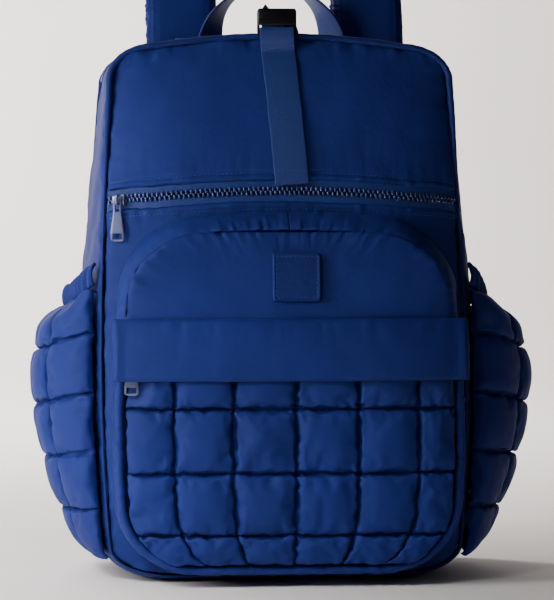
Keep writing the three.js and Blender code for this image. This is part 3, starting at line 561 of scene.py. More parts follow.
def panel_relief(from_share, to_share, zip_end, seed):
    def relief(u, v, place):
        share = lerp(from_share, to_share, v)
        side = min(u, 1 - u) * panel_width
        cap = min(share, 1 - share) * panel_height
        to_zip = abs(share - zip_end) / band_scale
        seam = 2.0 * pucker(place.z, side, 11, 13, seed) + 2.6 * pucker(place.x, cap, 11, 17, seed + 2)
        seam -= sink(side, seam_sink) + sink(cap, seam_sink)
        fold = 1.2 * pucker(place.x, to_zip, 6, 12, seed + 4)
        fold += 1.3 * dip(to_zip - 2.6, 2.4) - 1.8 * dip(to_zip, 1.0) - 1.0 * dip(to_zip - stitch_inset, 1.3)
        broad = 1.6 * ripple(place, 75, seed) + 0.55 * ripple(place, 24, seed + 1)
        return seam + fold + broad

    return relief


for name, start, end, zip_end, rows, seed in [
    ("lower_panel", 0.0, zip_share - band_share, zip_share - band_share, 130, 3.1),
    ("upper_panel", zip_share + band_share, 1.0, zip_share + band_share, 72, 8.4),
]:
    surface = lambda u, v, start=start, end=end: front_panel(u, lerp(start, end, v))
    grid = laid_grid(surface, panel_columns, rows, forwards, panel_relief(start, end, zip_end, seed))
    node = "front_panel_lower" if name == "lower_panel" else "front_panel_upper"
    panel = write_piece(name, grid, nylon, [node], wall=shell_wall)
print("zip lies at share", round(zip_share, 3))

# %% [markdown]
# ## Tubes and bands
# Piping, straps and webbing are all one section carried along a path. A grid is rolled round the
# section, its seam is merged and its ends are closed. A superellipse gives every section: an exponent
# of 2 is round, and a high one is a flat ribbon with soft edges.

# %% Helper that carries a section along a path
def section_point(turn, width, depth, power):
    angle = turn * math.tau
    across, up = math.cos(angle), math.sin(angle)
    reach_x = math.copysign(abs(across) ** (2 / power), across) * width / 2
    reach_y = math.copysign(abs(up) ** (2 / power), up) * depth / 2
    return reach_x, reach_y


def carried(path, across_at, width_at, depth, power, around, steps, closed=False, relief=None):
    bm = bmesh.new()
    bmesh.ops.create_grid(bm, x_segments=around, y_segments=steps, size=0.5)
    uv = bm.loops.layers.uv.new("UVMap")
    shares = [(vert.co.x + 0.5, vert.co.y + 0.5) for vert in bm.verts]
    length = sum((path((i + 1) / 60) - path(i / 60)).length for i in range(60))
    frames = {}
    for row in range(steps + 1):
        share = row / steps
        step = 0.25 / steps
        before = share - step if closed or share >= step else share
        after = share + step if closed or share <= 1 - step else share
        tangent = (path(after) - path(before)).normalized()
        across = across_at(share)
        across = (across - tangent * across.dot(tangent)).normalized()
        frames[row] = (path(share), across, tangent.cross(across).normalized(), width_at(share))
    for face in bm.faces:
        for loop in face.loops:
            turn, share = loop.vert.co.x + 0.5, loop.vert.co.y + 0.5
            width = frames[round(share * steps)][3]
            side = section_point(turn, width, depth, power)[0]
            loop[uv].uv = ((side + width / 2) * MM, share * length * MM)
    for vert, (turn, share) in zip(bm.verts, shares):
        origin, across, normal, width = frames[round(share * steps)]
        side, up = section_point(turn, width, depth, power)
        lift = relief(turn, share) if relief else 0.0
        direction = (across * side + normal * up).normalized()
        vert.co = (origin + across * side + normal * up + direction * lift) * MM
    bmesh.ops.remove_doubles(bm, verts=bm.verts[:], dist=1e-6)
    if not closed:
        rims = [edge for edge in bm.edges if edge.is_boundary]
        bmesh.ops.holes_fill(bm, edges=rims, sides=0)
    bmesh.ops.recalc_face_normals(bm, faces=bm.faces[:])
    return bm


def smooth_path(points):
    """A Catmull-Rom curve through given points, as a function of the share along it."""
    spots = [Vector(spot) for spot in points]
    spots = [2 * spots[0] - spots[1], *spots, 2 * spots[-1] - spots[-2]]

    def path(share):
        place = clamp(share, 0, 1) * (len(spots) - 3)
        cell = min(int(place), len(spots) - 4)
        t = place - cell
        a, b, c, d = spots[cell:cell + 4]
        return 0.5 * (2 * b + (c - a) * t + (2 * a - 5 * b + 4 * c - d) * t ** 2
                      + (3 * b - a - 3 * c + d) * t ** 3)

    return path


# %% [markdown]
# Piping is a bias strip wrapped round a cord and sewn into the seam. It reads as a thin rope of the
# same cloth, with fine crosswise creases where the strip turns. Down the sides the cord thins out, and
# only the closed seam is left.

# %% Piping of the front and back seams
piping_fade = (300, 385)
seam_radius = 0.8
piping_steps = 440
for name, ring, depth_at, seed in [
    ("front_piping_cord", front_ring, front_y, 1.0), ("back_piping_cord", back_ring, back_y, 6.0),
]:
    def path(share, ring=ring, depth_at=depth_at):
        x, z = ring_point(ring, share)
        return Vector((x, depth_at(z), z))

    def creases(turn, share, seed=seed):
        return 0.38 * noise.noise(Vector((share * 260, turn * 2.2, seed)))

    def corded(turn, share, path=path, creases=creases):
        height = path(share).z
        full = clamp((height - piping_fade[0]) / (piping_fade[1] - piping_fade[0]), 0, 1)
        return creases(turn, share) * full - (1 - full) * (piping_radius - seam_radius)

    cord = carried(path, lambda share: Vector((0, 1, 0)), lambda share: 2 * piping_radius,
                   2 * piping_radius, 2, 12, piping_steps, closed=True, relief=corded)
    write_piece(name, cord, nylon_binding, [name.replace("_cord", "")])

# %% [markdown]
# ## Gusset
# The gusset is the wall between the two seams: base, sides and top. It bellies out, and its base is
# flat on the floor. On top it is split by the main zip.

# %% Gusset panels
main_zip_place = 0.6
chain_width = 6.4
main_zip_reach = 0.14
gusset_sink = 2.2
seam_gap = piping_radius * 0.55 / (base_depth - front_lean)
main_chain_share = chain_width / 2 / base_depth


def gusset_point(turn, across):
    front = Vector(ring_point(front_ring, turn))
    back = Vector(ring_point(back_ring, turn))
    middle = Vector(ring_point(side_ring, turn))
    belly = (4 * across * (1 - across)) ** 0.6
    base_part = clamp(1 - middle.y / side_low(side_ring), 0, 1)
    x = lerp(front.x, back.x, across) + (middle.x - (front.x + back.x) / 2) * belly
    z = lerp(front.y, back.y, across) - base_sag * base_part * belly
    return Vector((x, lerp(front_y(front.y), back_y(back.y), across), max(z, 0)))


def gusset(turn, across):
    return gusset_point(turn, clamp(lerp(seam_gap, 1 - seam_gap, across), 0, 1))


def outwards(place):
    return Vector((place.x, place.y, place.z - body_height / 2))


def gusset_relief(seed, flat_base):
    def relief(u, v, place):
        if flat_base:
            return -abs(0.3 * ripple(place, 20, seed))
        edge = min(v, 1 - v) * base_depth
        height = clamp((place.z - 12) / 30, 0, 1)
        along = place.z + place.x
        fold = 2.0 * pucker(along, edge, 13, 22, seed) - sink(edge, gusset_sink)
        slant = Vector((place.x, place.y + place.z * 0.8, place.z * 0.35))
        return height * (fold + 2.6 * ripple(slant, 34, seed) + 0.6 * ripple(place, 21, seed + 3))

    return relief


base_end = base_share / 2
top_start = 0.5 - main_zip_reach
for name, node, start, end, near, far, columns, rows, seed in [
    ("base_panel", "gusset_base", -base_end, base_end, 0, 1, 60, 40, 2.0),
    ("side_panel_right", "gusset_right", base_end, top_start, 0, 1, 160, 50, 4.0),
    ("side_panel_left", "gusset_left", -top_start, -base_end, 0, 1, 160, 50, 7.0),
    ("top_panel_front", "gusset_top_front", top_start, 1 - top_start, 0,
     main_zip_place - main_chain_share, 110, 26, 9.0),
    ("top_panel_back", "gusset_top_back", top_start, 1 - top_start,
     main_zip_place + main_chain_share, 1, 110, 18, 11.0),
]:
    surface = lambda u, v, a=start, b=end, c=near, d=far: gusset(lerp(a, b, u), lerp(c, d, v))
    grid = laid_grid(surface, columns, rows, outwards, gusset_relief(seed, name == "base_panel"))
    side = write_piece(name, grid, nylon, [node], wall=shell_wall)

# %% [markdown]
# ## Back panel
# The back of the bag lies against a shirt, so it is plain and softly padded. A coarse grid is enough
# for it.

# %% Back panel
back_grid = (70, 88)
back_surface = seam_panel(inset(back_ring, piping_radius * 0.5), back_panel_y)


def back_relief(u, v, place):
    side = min(u, 1 - u) * panel_width
    cap = min(v, 1 - v) * panel_height
    seam = 1.2 * pucker(place.z, side, 9, 9, 14) + 1.2 * pucker(place.x, cap, 9, 9, 16)
    seam -= sink(side, seam_sink) + sink(cap, seam_sink)
    return seam + 0.8 * ripple(place, 60, 17)


back_cloth = write_piece("back_cloth", laid_grid(back_surface, *back_grid, backwards, back_relief), nylon,
                         ["back_panel"], wall=shell_wall)

# %% [markdown]
# ## Front pocket
# The pocket stands off the panel on a sloping wall. Its face has a plain upper part, a zip under a
# storm flap and a quilted lower part with a padded border. The wall is sewn to the face with a deep
# seam, and the cloth gathers towards it.

# %% Pocket sizes and its wall
pocket_low = 9
pocket_top = 296
pocket_depth = 38
pocket_lean = 8
pocket_swell = 7
pocket_belly = 3
pocket_cloth = 1.4
pocket_sink = 1.6
wall_grid = (300, 24)
fold_centre = 150
fold_radius = 150
border_radius = 3.6
pocket_zip_height = 186
pocket_ring = {
    "low": pocket_low, "top": pocket_top, "half_base": 137, "half_top": 134, "bow": 3, "sway": 0,
    "crown": 2, "base_corner": (64, 60), "top_corner": (72, 62),
}
face_ring = inset(pocket_ring, 4, 5, 13)


def face_seam_y(z):
    return -base_depth / 2 - pocket_depth + pocket_lean * clamp(z / pocket_top, 0, 1) ** 2


def face_y(x, z):
    return face_seam_y(z) - pocket_swell * puff(face_ring, x, z)


def pocket_wall_point(turn, out):
    root = Vector(ring_point(pocket_ring, turn))
    edge = Vector(ring_point(face_ring, turn))
    middle = (pocket_low + pocket_top) / 2
    belly = pocket_belly * math.sin(math.pi * out)
    reach = math.hypot(edge.x, edge.y - middle)
    x = lerp(root.x, edge.x, out) + belly * edge.x / reach
    z = lerp(root.y, edge.y, out) + belly * (edge.y - middle) / reach
    return Vector((x, lerp(panel_y(root.x, root.y) + 2, face_seam_y(edge.y) + 0.6, out), z))


def from_pocket_middle(place):
    return Vector((place.x, 0, place.z - (pocket_low + pocket_top) / 2))


def wall_relief(u, v, place):
    along = math.atan2(place.x, place.z - fold_centre) * fold_radius
    to_edge = (1 - v) * pocket_depth
    to_root = v * pocket_depth
    fold = 2.2 * pucker(along, to_edge, 8, 14, 21) + 1.6 * pucker(along, to_root, 10, 10, 23)
    return fold + 0.8 * ripple(place, 24, 25) - sink(to_edge, pocket_sink)


for name, node, start in [
    ("pocket_side_right", "pocket_wall_right", 0.0), ("pocket_side_left", "pocket_wall_left", 0.5),
]:
    surface = lambda u, v, start=start: pocket_wall_point(start + u / 2, v)
    grid = laid_grid(surface, *wall_grid, from_pocket_middle, wall_relief)
    wall_piece = write_piece(name, grid, nylon, [node], wall=pocket_cloth)

# %% [markdown]
# The upper face is one smooth cloth. Short puckers run down from its curved seam, where a long edge
# was eased into a shorter one.

# %% Upper face of the pocket
face_top = face_ring["top"] - face_ring["crown"]
face_grid = (140, 76)
face_fold_centre = 190
face_fold_radius = 130


def level_face(low, high, edge):
    def surface(u, v):
        z = lerp(low, high, v)
        x = (2 * u - 1) * (whole_half_at(face_ring, z) - edge)
        return Vector((x, face_y(x, z), z))

    return surface


upper_face = level_face(pocket_zip_height + 2, face_top, 0.2)


def crowded_face(u, v):
    return upper_face(u, math.sin(math.pi / 2 * v))


def face_relief(u, v, place):
    side = whole_half_at(face_ring, place.z) - abs(place.x)
    cap = face_top - place.z
    edge = min(side, cap * 1.4)
    angle = math.atan2(place.z - face_fold_centre, place.x)
    fold = 1.9 * pucker(angle * face_fold_radius, edge, 8, 11, 31) - sink(edge, seam_sink, gusset_sink)
    return fold + 1.3 * ripple(place, 60, 33) + 0.5 * ripple(place, 20, 35)


upper_cloth = write_piece("pocket_upper_cloth",
                          laid_grid(crowded_face, *face_grid, forwards, face_relief), nylon,
                          ["pocket_face_upper"], wall=shell_wall)

# %% [markdown]
# ## Quilting
# Quilted cloth is sewn to its backing along a grid and stuffed between. The outer cloth is longer than
# its seams, so it balloons into pillows and crumples where the thread holds it. That is what a cloth
# solver does well: the seams are pinned, the cloth is told to grow, and air pressure lifts it. The
# grid's rows crowd towards the seams, so that the valleys there are narrow and steep.

# %% Helper that sews and fills a quilt
seam_crowding = 0.68
solver_frames = 20
air_pressure = 4.0
first_share = 0.8
move_share = 0.6
border_share = 0.01


def crowd(within):
    return within - seam_crowding * math.sin(math.tau * within) / math.tau


def quilt_station(seams, share):
    cells = len(seams) - 1
    cell = min(int(share * cells + 1e-9), cells - 1)
    within = share * cells - cell
    return lerp(seams[cell], seams[cell + 1], crowd(within)), within


def pillow(within):
    return max(4 * within * (1 - within), 0) ** 0.42


def seam_gather(along, away, seed):
    """Cloth crumpled against a seam: sharp short folds in a deep narrow valley."""
    sharp = 1 - 2.4 * abs(noise.noise(Vector((along / 4.2, away / 14, seed))))
    long = noise.noise(Vector((along / 8.5, away / 26, seed + 3)))
    fold = 2.6 * sharp * math.exp(-away / 3.6) + 1.2 * long * math.exp(-away / 8)
    return fold - 4.0 * math.exp(-away / 1.2)


def quilted(name, smooth, columns, rows, per_column, per_row, outward, rise, growth, seed, jag,
            cell_size):
    """smooth gives the sewn surface, columns and rows are the seams, rise is the pillow's height."""
    across_count = (len(columns) - 1) * per_column
    up_count = (len(rows) - 1) * per_row

    def sewn(u, v):
        across, _ = quilt_station(columns, u)
        up, _ = quilt_station(rows, v)
        place = smooth(across, up)
        if min(across, 1 - across, up, 1 - up) <= border_share:
            return place
        wander = noise.noise(Vector((place.z / 5, across * 17, seed))) * jag
        drift = noise.noise(Vector((place.x / 5 + place.y / 5, up * 17, seed + 9))) * jag
        return smooth(clamp(across + wander, 0, 1), clamp(up + drift, 0, 1))

    def first_puff(u, v, place):
        lift = pillow(quilt_station(columns, u)[1]) * pillow(quilt_station(rows, v)[1])
        grain = 0.25 * ripple(place, 7, seed)
        share = first_share if simulate else 1.0
        return lift * (rise * share + grain)

    def gather(bm):
        bm.normal_update()
        bm.verts.ensure_lookup_table()
        moves = []
        for index, vert in enumerate(bm.verts):
            column, row = index % (across_count + 1), index // (across_count + 1)
            cell_u = crowd(column % per_column / per_column)
            cell_v = crowd(row % per_row / per_row)
            across_mm = min(cell_u, 1 - cell_u) * cell_size[0]
            up_mm = min(cell_v, 1 - cell_v) * cell_size[1]
            column_seam = round(column / per_column)
            row_seam = round(row / per_row)
            level = vert.co.z / MM
            sideways_place = (vert.co.x + vert.co.y) / MM
            lift = seam_gather(sideways_place, up_mm, seed + 7 * row_seam)
            lift += 0.8 * seam_gather(level, across_mm, seed + 5 * column_seam + 50)
            moves.append(vert.normal * lift * MM)
        for vert, move in zip(bm.verts, moves):
            vert.co += move

    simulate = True
    bm = laid_grid(sewn, across_count, up_count, outward, first_puff)
    if not simulate:
        gather(bm)
        return bm
    pinned = []
    for index in range(len(bm.verts)):
        column = index % (across_count + 1)
        row = index // (across_count + 1)
        if column % per_column == 0 or row % per_row == 0:
            pinned.append(index)
    mesh = bpy.data.meshes.new(name + "_cut")
    bm.to_mesh(mesh)
    bm.free()
    cut = bpy.data.objects.new(name + "_cut", mesh)
    bpy.context.collection.objects.link(cut)
    group = cut.vertex_groups.new(name="sewn")
    group.add(pinned, 1.0, "REPLACE")
    cloth = cut.modifiers.new("Cloth", "CLOTH")
    cloth.settings.quality = 6
    cloth.settings.mass = 0.12
    cloth.settings.tension_stiffness = 15
    cloth.settings.compression_stiffness = 15
    cloth.settings.shear_stiffness = 4
    cloth.settings.bending_stiffness = 0.6
    cloth.settings.tension_damping = 8
    cloth.settings.compression_damping = 8
    cloth.settings.use_pressure = True
    cloth.settings.uniform_pressure_force = air_pressure
    cloth.settings.shrink_min = -growth
    cloth.settings.vertex_group_mass = "sewn"
    cloth.settings.effector_weights.gravity = 0.0
    cloth.collision_settings.use_collision = False
    cloth.point_cache.frame_start = 1
    cloth.point_cache.frame_end = solver_frames
    start = [vert.co.copy() for vert in mesh.vertices]
    scene = bpy.context.scene
    for number in range(1, solver_frames + 1):
        scene.frame_set(number)
    solved = cut.evaluated_get(bpy.context.evaluated_depsgraph_get()).to_mesh()
    moved = [vert.co.copy() for vert in solved.vertices]
    cut.modifiers.remove(cloth)
    scene.frame_set(1)
    cap = rise * move_share * MM
    for vert, before, after in zip(mesh.vertices, start, moved):
        shift = after - before
        vert.co = before + shift * min(1.0, cap / max(shift.length, 1e-9))
    bm = bmesh.new()
    bm.from_mesh(mesh)
    gather(bm)
    bpy.data.objects.remove(cut)
    highest = max((after - before).length for before, after in zip(start, moved)) / MM
    print("simulated", name, "points:", len(start), "largest move in mm:", round(highest, 1))
    return bm


# %% [markdown]
# The lower face of the pocket holds six columns and four rows of pillows, most of them about 50 mm
# wide. Their seams are not evenly spaced: the outer cells are cut by the pocket's round corners. The
# first pillow is pressed in where the zip's puller hangs on it.

# %% Quilted face of the pocket
quilt_columns = [0, 0.146, 0.326, 0.514, 0.704, 0.886, 1]
quilt_rows = [0, 0.144, 0.443, 0.754, 1]
quilt_rise = 9.5
quilt_steps = (22, 20)
quilt_cell = (46, 40)
quilt_growth = 0.03
quilt_wall = 1.2
quilt_inset = border_radius + 1.2
quilt_top = pocket_zip_height - chain_width / 2 - 1
lower_face = level_face(face_ring["low"] + quilt_inset, quilt_top, quilt_inset)
quilt_mesh = quilted("pocket_pillows", lower_face, quilt_columns, quilt_rows, *quilt_steps, forwards,
                     quilt_rise, quilt_growth, 41, 0.008, quilt_cell)
dent_place = (-124, 160)
dent_size = (15, 20)
dent_depth = 8
for vert in quilt_mesh.verts:
    near = math.hypot((vert.co.x / MM - dent_place[0]) / dent_size[0],
                      (vert.co.z / MM - dent_place[1]) / dent_size[1])
    vert.co.y += dent_depth * MM * max(1 - near ** 2, 0)
pocket_pillows = write_piece("pocket_pillows", quilt_mesh, nylon, ["pocket_quilt"], wall=quilt_wall,
                             levels=1)

# %% [markdown]
# A padded border runs round the quilting, from under the flap down one side, across the base and up
# the other. It is gathered too, so its outline wobbles a little.

# %% Border of the quilted face
def border_path(share):
    low = side_low(face_ring)
    up = (pocket_zip_height - low) / (side_top(face_ring) - low)
    end = lerp(base_corner_share, side_share, up) / 2
    x, z = ring_point(face_ring, lerp(-end, end, share))
    return Vector((x, face_seam_y(z) + 0.4, z))


def border_gathers(turn, share):
    return 0.9 * noise.noise(Vector((share * 75, turn * 1.5, 51))) + 0.5 * noise.noise(
        Vector((share * 190, turn * 2.5, 53)))


border_mesh = carried(border_path, lambda share: Vector((0, 1, 0)), lambda share: 2 * border_radius,
                      2 * border_radius, 2, 16, 420, relief=border_gathers)
border = write_piece("pocket_border_roll", border_mesh, nylon, ["pocket_border"])

# %% [markdown]
# ## Storm flap
# The flap is a straight padded band, sewn along its top and free below. Its edges are rolled. Its
# relief never goes deeper than a millimetre, so the puller behind it stays free.

# %% Storm flap
flap_top = 213
flap_height = 49
flap_half = 141
flap_thickness = 3
flap_stand = 12
flap_grid = (190, 40)
flap_roll = 1.5
flap_dent = 1.0
clearance = 0.3


def flap_point(u, v):
    x = lerp(-flap_half, flap_half, u)
    down = 1 - v
    stand = flap_stand * (1 - (1 - down) ** 3) + 2 * clearance + flap_thickness
    edge = min(u, 1 - u) * 2 * flap_half
    tuck = 2.0 * dip(edge, 2.5)
    return Vector((x, face_y(x, flap_top) - stand + tuck, flap_top - flap_height * down))


def flap_relief(u, v, place):
    top = (1 - v) * flap_height
    low = v * flap_height
    edge = min(u, 1 - u) * 2 * flap_half
    roll = -flap_roll * (dip(top, flap_roll) + dip(low, flap_roll) + dip(edge, flap_roll))
    fold = 0.8 * pucker(place.x, top, 9, 12, 61) + 0.5 * pucker(place.x, low, 11, 10, 63)
    return max(roll + fold + 0.9 * ripple(place, 50, 65) + 0.35 * ripple(place, 18, 67), -flap_dent)


flap = write_piece("storm_flap", laid_grid(flap_point, *flap_grid, forwards, flap_relief), nylon,
                   ["pocket_flap"], wall=0.6 * flap_thickness)

# %% [markdown]
# ## Label patch
# A square of the same cloth with a raised edge and, further down, a row of stitches.

# %% Label patch
label_size = 38.5
label_corner = 3.0
label_height = 245
label_rim = 1.5
label_x = 4.5
label_stand = 2.9
label_wall = 2.4
label_steps = 56


def label_spot(u, v):
    half = label_size / 2
    x, z = (2 * u - 1) * half, (2 * v - 1) * half
    flat = half - label_corner
    over_x, over_z = abs(x) - flat, abs(z) - flat
    if over_x > 0 and over_z > 0:
        pull = max(over_x, over_z) / math.hypot(over_x, over_z)
        x = math.copysign(flat + over_x * pull, x)
        z = math.copysign(flat + over_z * pull, z)
    return x, z


def label_point(u, v):
    x, z = label_spot(u, v)
    x += label_x
    return Vector((x, face_y(x, label_height + z) - label_stand, label_height + z))


def label_relief(u, v, place):
    edge = min(u, 1 - u, v, 1 - v) * label_size
    return 0.7 * dip(edge - label_rim, 0.9) - 0.9 * dip(edge, 0.6) + 0.15 * ripple(place, 6, 71)


label_grid = laid_grid(label_point, label_steps, label_steps, forwards, label_relief)
write_piece("label_square", label_grid, nylon_binding, ["label_patch"], wall=label_wall)

# %% [markdown]
# ## Side pockets
# Each side pocket is quilted like the front and gathered at its mouth by an elastic hem. Its wall
# stands out furthest about two thirds up, as if something soft sat inside.

# %% Side pocket surfaces
side_low_z = 19
side_mouth_z = 256
side_dip = 20
side_swells = {"left": 33, "right": 42}
side_wall = 2.4
side_edge = 0.02
hem_height = 19
hem_swell = 9.6
hem_gathers = 12
hem_wall = 3.0
hem_grid = (220, 18)
side_steps = (16, 18)
side_rise = 8.0
side_cell = (38, 44)
side_profile = [(0, 0.05), (0.07, 0.36), (0.16, 0.52), (0.32, 0.76), (0.5, 0.92), (0.68, 1),
                (0.84, 0.84), (0.92, 0.3)]
side_columns = [0, 0.25, 0.5, 0.75, 1]
side_rows = [0, 0.185, 0.395, 0.61, 0.83, 1]
hem_share = 1 - hem_height / (side_mouth_z - side_low_z)


def side_stand(height):
    for (low, low_stand), (high, high_stand) in zip(side_profile, side_profile[1:]):
        if height <= high:
            t = clamp((height - low) / (high - low), 0, 1)
            return lerp(low_stand, high_stand, t * t * (3 - 2 * t) * 0.4 + t * 0.6)
    return side_profile[-1][1]


def gusset_side(side, across, z, lift):
    edge = lerp(side_edge, 1 - side_edge, across)
    belly = (4 * edge * (1 - edge)) ** 0.6
    front, back = half_at(front_ring, z), half_at(back_ring, z)
    half = lerp(front, back, edge) + (half_at(side_ring, z) - (front + back) / 2) * belly
    return Vector((side * (half + lift) + sway * z / body_height, lerp(front_y(z), back_y(z), edge), z))


def mouth_height(across):
    return side_mouth_z - side_dip * math.sin(math.pi * min(across, 0.5))


def side_pocket_surface(side, swell):
    def surface(across, share):
        z = lerp(side_low_z, mouth_height(across) - hem_height - 0.6, share)
        round_share = math.sin(math.pi * clamp(across, 0, 1)) ** 0.6 if 0 < across < 1 else 0.0
        stand = swell * side_stand(share * hem_share) * round_share
        return gusset_side(side, across, z, 0.4 + side_wall + stand)

    return surface


def hem_surface(side):
    def surface(across, up):
        z = mouth_height(across) - hem_height * (1 - up)
        round_share = math.sin(math.pi * clamp(across, 0, 1)) ** 0.6 if 0 < across < 1 else 0.0
        bend = 1.6 * math.sin(math.pi * up)
        return gusset_side(side, across, z, 4.4 + hem_swell * round_share + bend)

    return surface


def hem_relief(seed):
    def relief(u, v, place):
        slant = u + 0.02 * (v - 0.5)
        wander = 0.35 * noise.noise(Vector((u * 14, v, seed)))
        gather = math.sin(math.tau * (hem_gathers * slant * 1.5 + wander))
        small = noise.noise(Vector((u * 60, v * 1.5, seed + 2)))
        edge = min(v, 1 - v) * hem_height
        return (1.4 * gather + 0.7 * small) * (1 - 0.35 * dip(edge, 3)) - 1.2 * dip(edge, 1.2)

    return relief


for name, side, seed in [("left", -1, 81.0), ("right", 1, 87.0)]:
    outward_side = lambda place, side=side: Vector((side, 0, 0))
    pocket_mesh = quilted(f"side_pocket_{name}_pillows", side_pocket_surface(side, side_swells[name]),
                          side_columns, side_rows, *side_steps, outward_side, side_rise, quilt_growth,
                          seed, 0.01, side_cell)
    side_pocket = write_piece(f"side_pillows_{name}", pocket_mesh, nylon, [f"side_pocket_{name}"],
                              wall=pocket_cloth, levels=1)
    hem_mesh = laid_grid(hem_surface(side), *hem_grid, outward_side, hem_relief(seed))
    hem = write_piece(f"elastic_hem_{name}", hem_mesh, nylon, [f"side_pocket_hem_{name}"], wall=hem_wall)

# %% [markdown]
# ## Zips
# A moulded zip is two tapes with a bead of teeth each. The tapes are narrow grids laid a little below
# the panel's surface, and they show between the panel's two rolled edges.

# %% Zip tapes
tape_depth = 1.2
tape_wall = 0.9


def zip_strip(low, high, sunk):
    def surface(u, v):
        place = front_panel(lerp(0.004, 0.996, u), zip_share + lerp(low, high, v) * band_scale)
        place.y += sunk
        return place

    return surface


for name, node, low, high in [
    ("zip_tape_high", "front_zip_tape_upper", 2.0, zip_band / 2 + 1.5),
    ("zip_tape_low", "front_zip_tape_lower", -zip_band / 2 - 1.5, -2.0),
]:
    tape = laid_grid(zip_strip(low, high, tape_depth), 180, 4, forwards, span=(270, high - low))
    write_piece(name, tape, zip_tape, [node], wall=tape_wall)

# %% [markdown]
# The teeth of one side sit half a pitch behind the other's. One tooth, a small block with bevelled
# edges, is made once. Every copy is moved by a matrix that carries its middle to the zip's line and
# turns it to the zip's direction, and all copies of a zip end in one mesh.

# %% Teeth
tooth_pitch = 3.5
tooth_size = (2.1, 2.3, 3.6)
tooth_offset = 1.5
tooth_bevel = 0.45
front_chain_length = 276
pocket_chain_length = 262
main_chain_length = 236


def add_copies(template, matrices):
    bm = bmesh.new()
    for matrix in matrices:
        first = len(bm.verts)
        bm.from_mesh(template)
        bm.verts.ensure_lookup_table()
        bmesh.ops.transform(bm, matrix=matrix, verts=bm.verts[first:])
    return bm


def make_template(name, bm):
    mesh = bpy.data.meshes.new(name)
    bm.to_mesh(mesh)
    bm.free()
    return mesh


tooth = bmesh.new()
bmesh.ops.create_cube(tooth, size=1.0)
bmesh.ops.scale(tooth, vec=Vector(tooth_size) * MM, verts=tooth.verts[:])
bmesh.ops.bevel(tooth, geom=tooth.edges[:], offset=tooth_bevel * MM, segments=1, profile=0.5, affect="EDGES",
                material=-1)
tooth_mesh = make_template("tooth", tooth)


def frame_at(path, share, outward, step=0.002):
    """A matrix whose X runs along the path and whose -Y looks outward, at a place in metres."""
    ahead = (path(min(share + step, 1)) - path(max(share - step, 0))).normalized()
    depth = -(outward - ahead * outward.dot(ahead)).normalized()
    up = ahead.cross(depth)
    matrix = Matrix((ahead, depth, up)).transposed().to_4x4()
    matrix.translation = path(share) * MM
    return matrix


def teeth_along(path, outward, length):
    count = int(length / tooth_pitch)
    matrices = []
    for index in range(2 * count):
        share = (index + 0.5) / (2 * count)
        lift = tooth_offset if index % 2 else -tooth_offset
        matrices.append(frame_at(path, share, outward) @ Matrix.Translation((0, 0, lift * MM)))
    return add_copies(tooth_mesh, matrices)


def front_chain(share):
    place = front_panel(lerp(0.008, 0.992, share), zip_share)
    place.y += 0.4
    return place


front = Vector((0, -1, 0))
write_piece("front_teeth", teeth_along(front_chain, front, front_chain_length), acetal,
            ["front_zip_chain"])


def pocket_chain(share):
    half = whole_half_at(face_ring, pocket_zip_height) - border_radius - 2
    x = lerp(-half, half, share)
    return Vector((x, face_y(x, pocket_zip_height) - 0.6, pocket_zip_height))


write_piece("pocket_teeth", teeth_along(pocket_chain, front, pocket_chain_length), acetal,
            ["pocket_zip_chain"])


def main_chain(share):
    return gusset(lerp(top_start, 1 - top_start, share), main_zip_place)


write_piece("main_teeth", teeth_along(main_chain, Vector((0, 0, 1)), main_chain_length), acetal,
            ["main_zip_chain"])

# %% [markdown]
# ## Plates with windows
# The pullers, the buckle and the strap adjusters are all flat plates with slots. A grid three cells
# wide gives the rims, the window cells are deleted, and a wall and rounded edges follow.

# %% Helper for plates with windows
def window_plate(rows, rim, thickness, corner, edge):
    """rows are (height, half width, window above it), from the lowest up, in millimetres."""
    bm = bmesh.new()
    bmesh.ops.create_grid(bm, x_segments=3, y_segments=len(rows) - 1, size=0.5)
    bm.verts.ensure_lookup_table()
    for index, vert in enumerate(bm.verts):
        column, row = index % 4, index // 4
        height, half, _ = rows[row]
        vert.co = Vector(([-half, rim - half, half - rim, half][column], 0, height)) * MM
    bm.faces.ensure_lookup_table()
    windows = [bm.faces[3 * row + 1] for row in range(len(rows) - 1) if rows[row][2]]
    bmesh.ops.delete(bm, geom=windows, context="FACES")
    corners = [vert for vert in bm.verts if len(vert.link_edges) == 2 and len(vert.link_faces) == 1]
    bmesh.ops.bevel(bm, geom=corners, offset=corner * MM, segments=4, profile=0.5, affect="VERTICES",
                    material=-1)
    front = bm.faces[:]
    grown = bmesh.ops.extrude_face_region(bm, geom=front)
    back = [item for item in grown["geom"] if isinstance(item, bmesh.types.BMVert)]
    bmesh.ops.translate(bm, vec=(0, thickness * MM, 0), verts=back)
    bmesh.ops.translate(bm, vec=(0, -thickness / 2 * MM, 0), verts=bm.verts[:])
    bmesh.ops.recalc_face_normals(bm, faces=bm.faces[:])
    sharp = [item for item in bm.edges if item.calc_face_angle(0) > 0.9]
    bmesh.ops.bevel(bm, geom=sharp, offset=edge * MM, segments=2, profile=0.5, affect="EDGES",
                    clamp_overlap=True, material=-1)
    return bm


# %% [markdown]
# A slider is a low block with a nose, and a bridge over its back. The puller hangs from that bridge by
# its eye, and its hinge in the frame says where that is. The main zip's sliders keep the frame's own
# shape, because the top edge hides them.

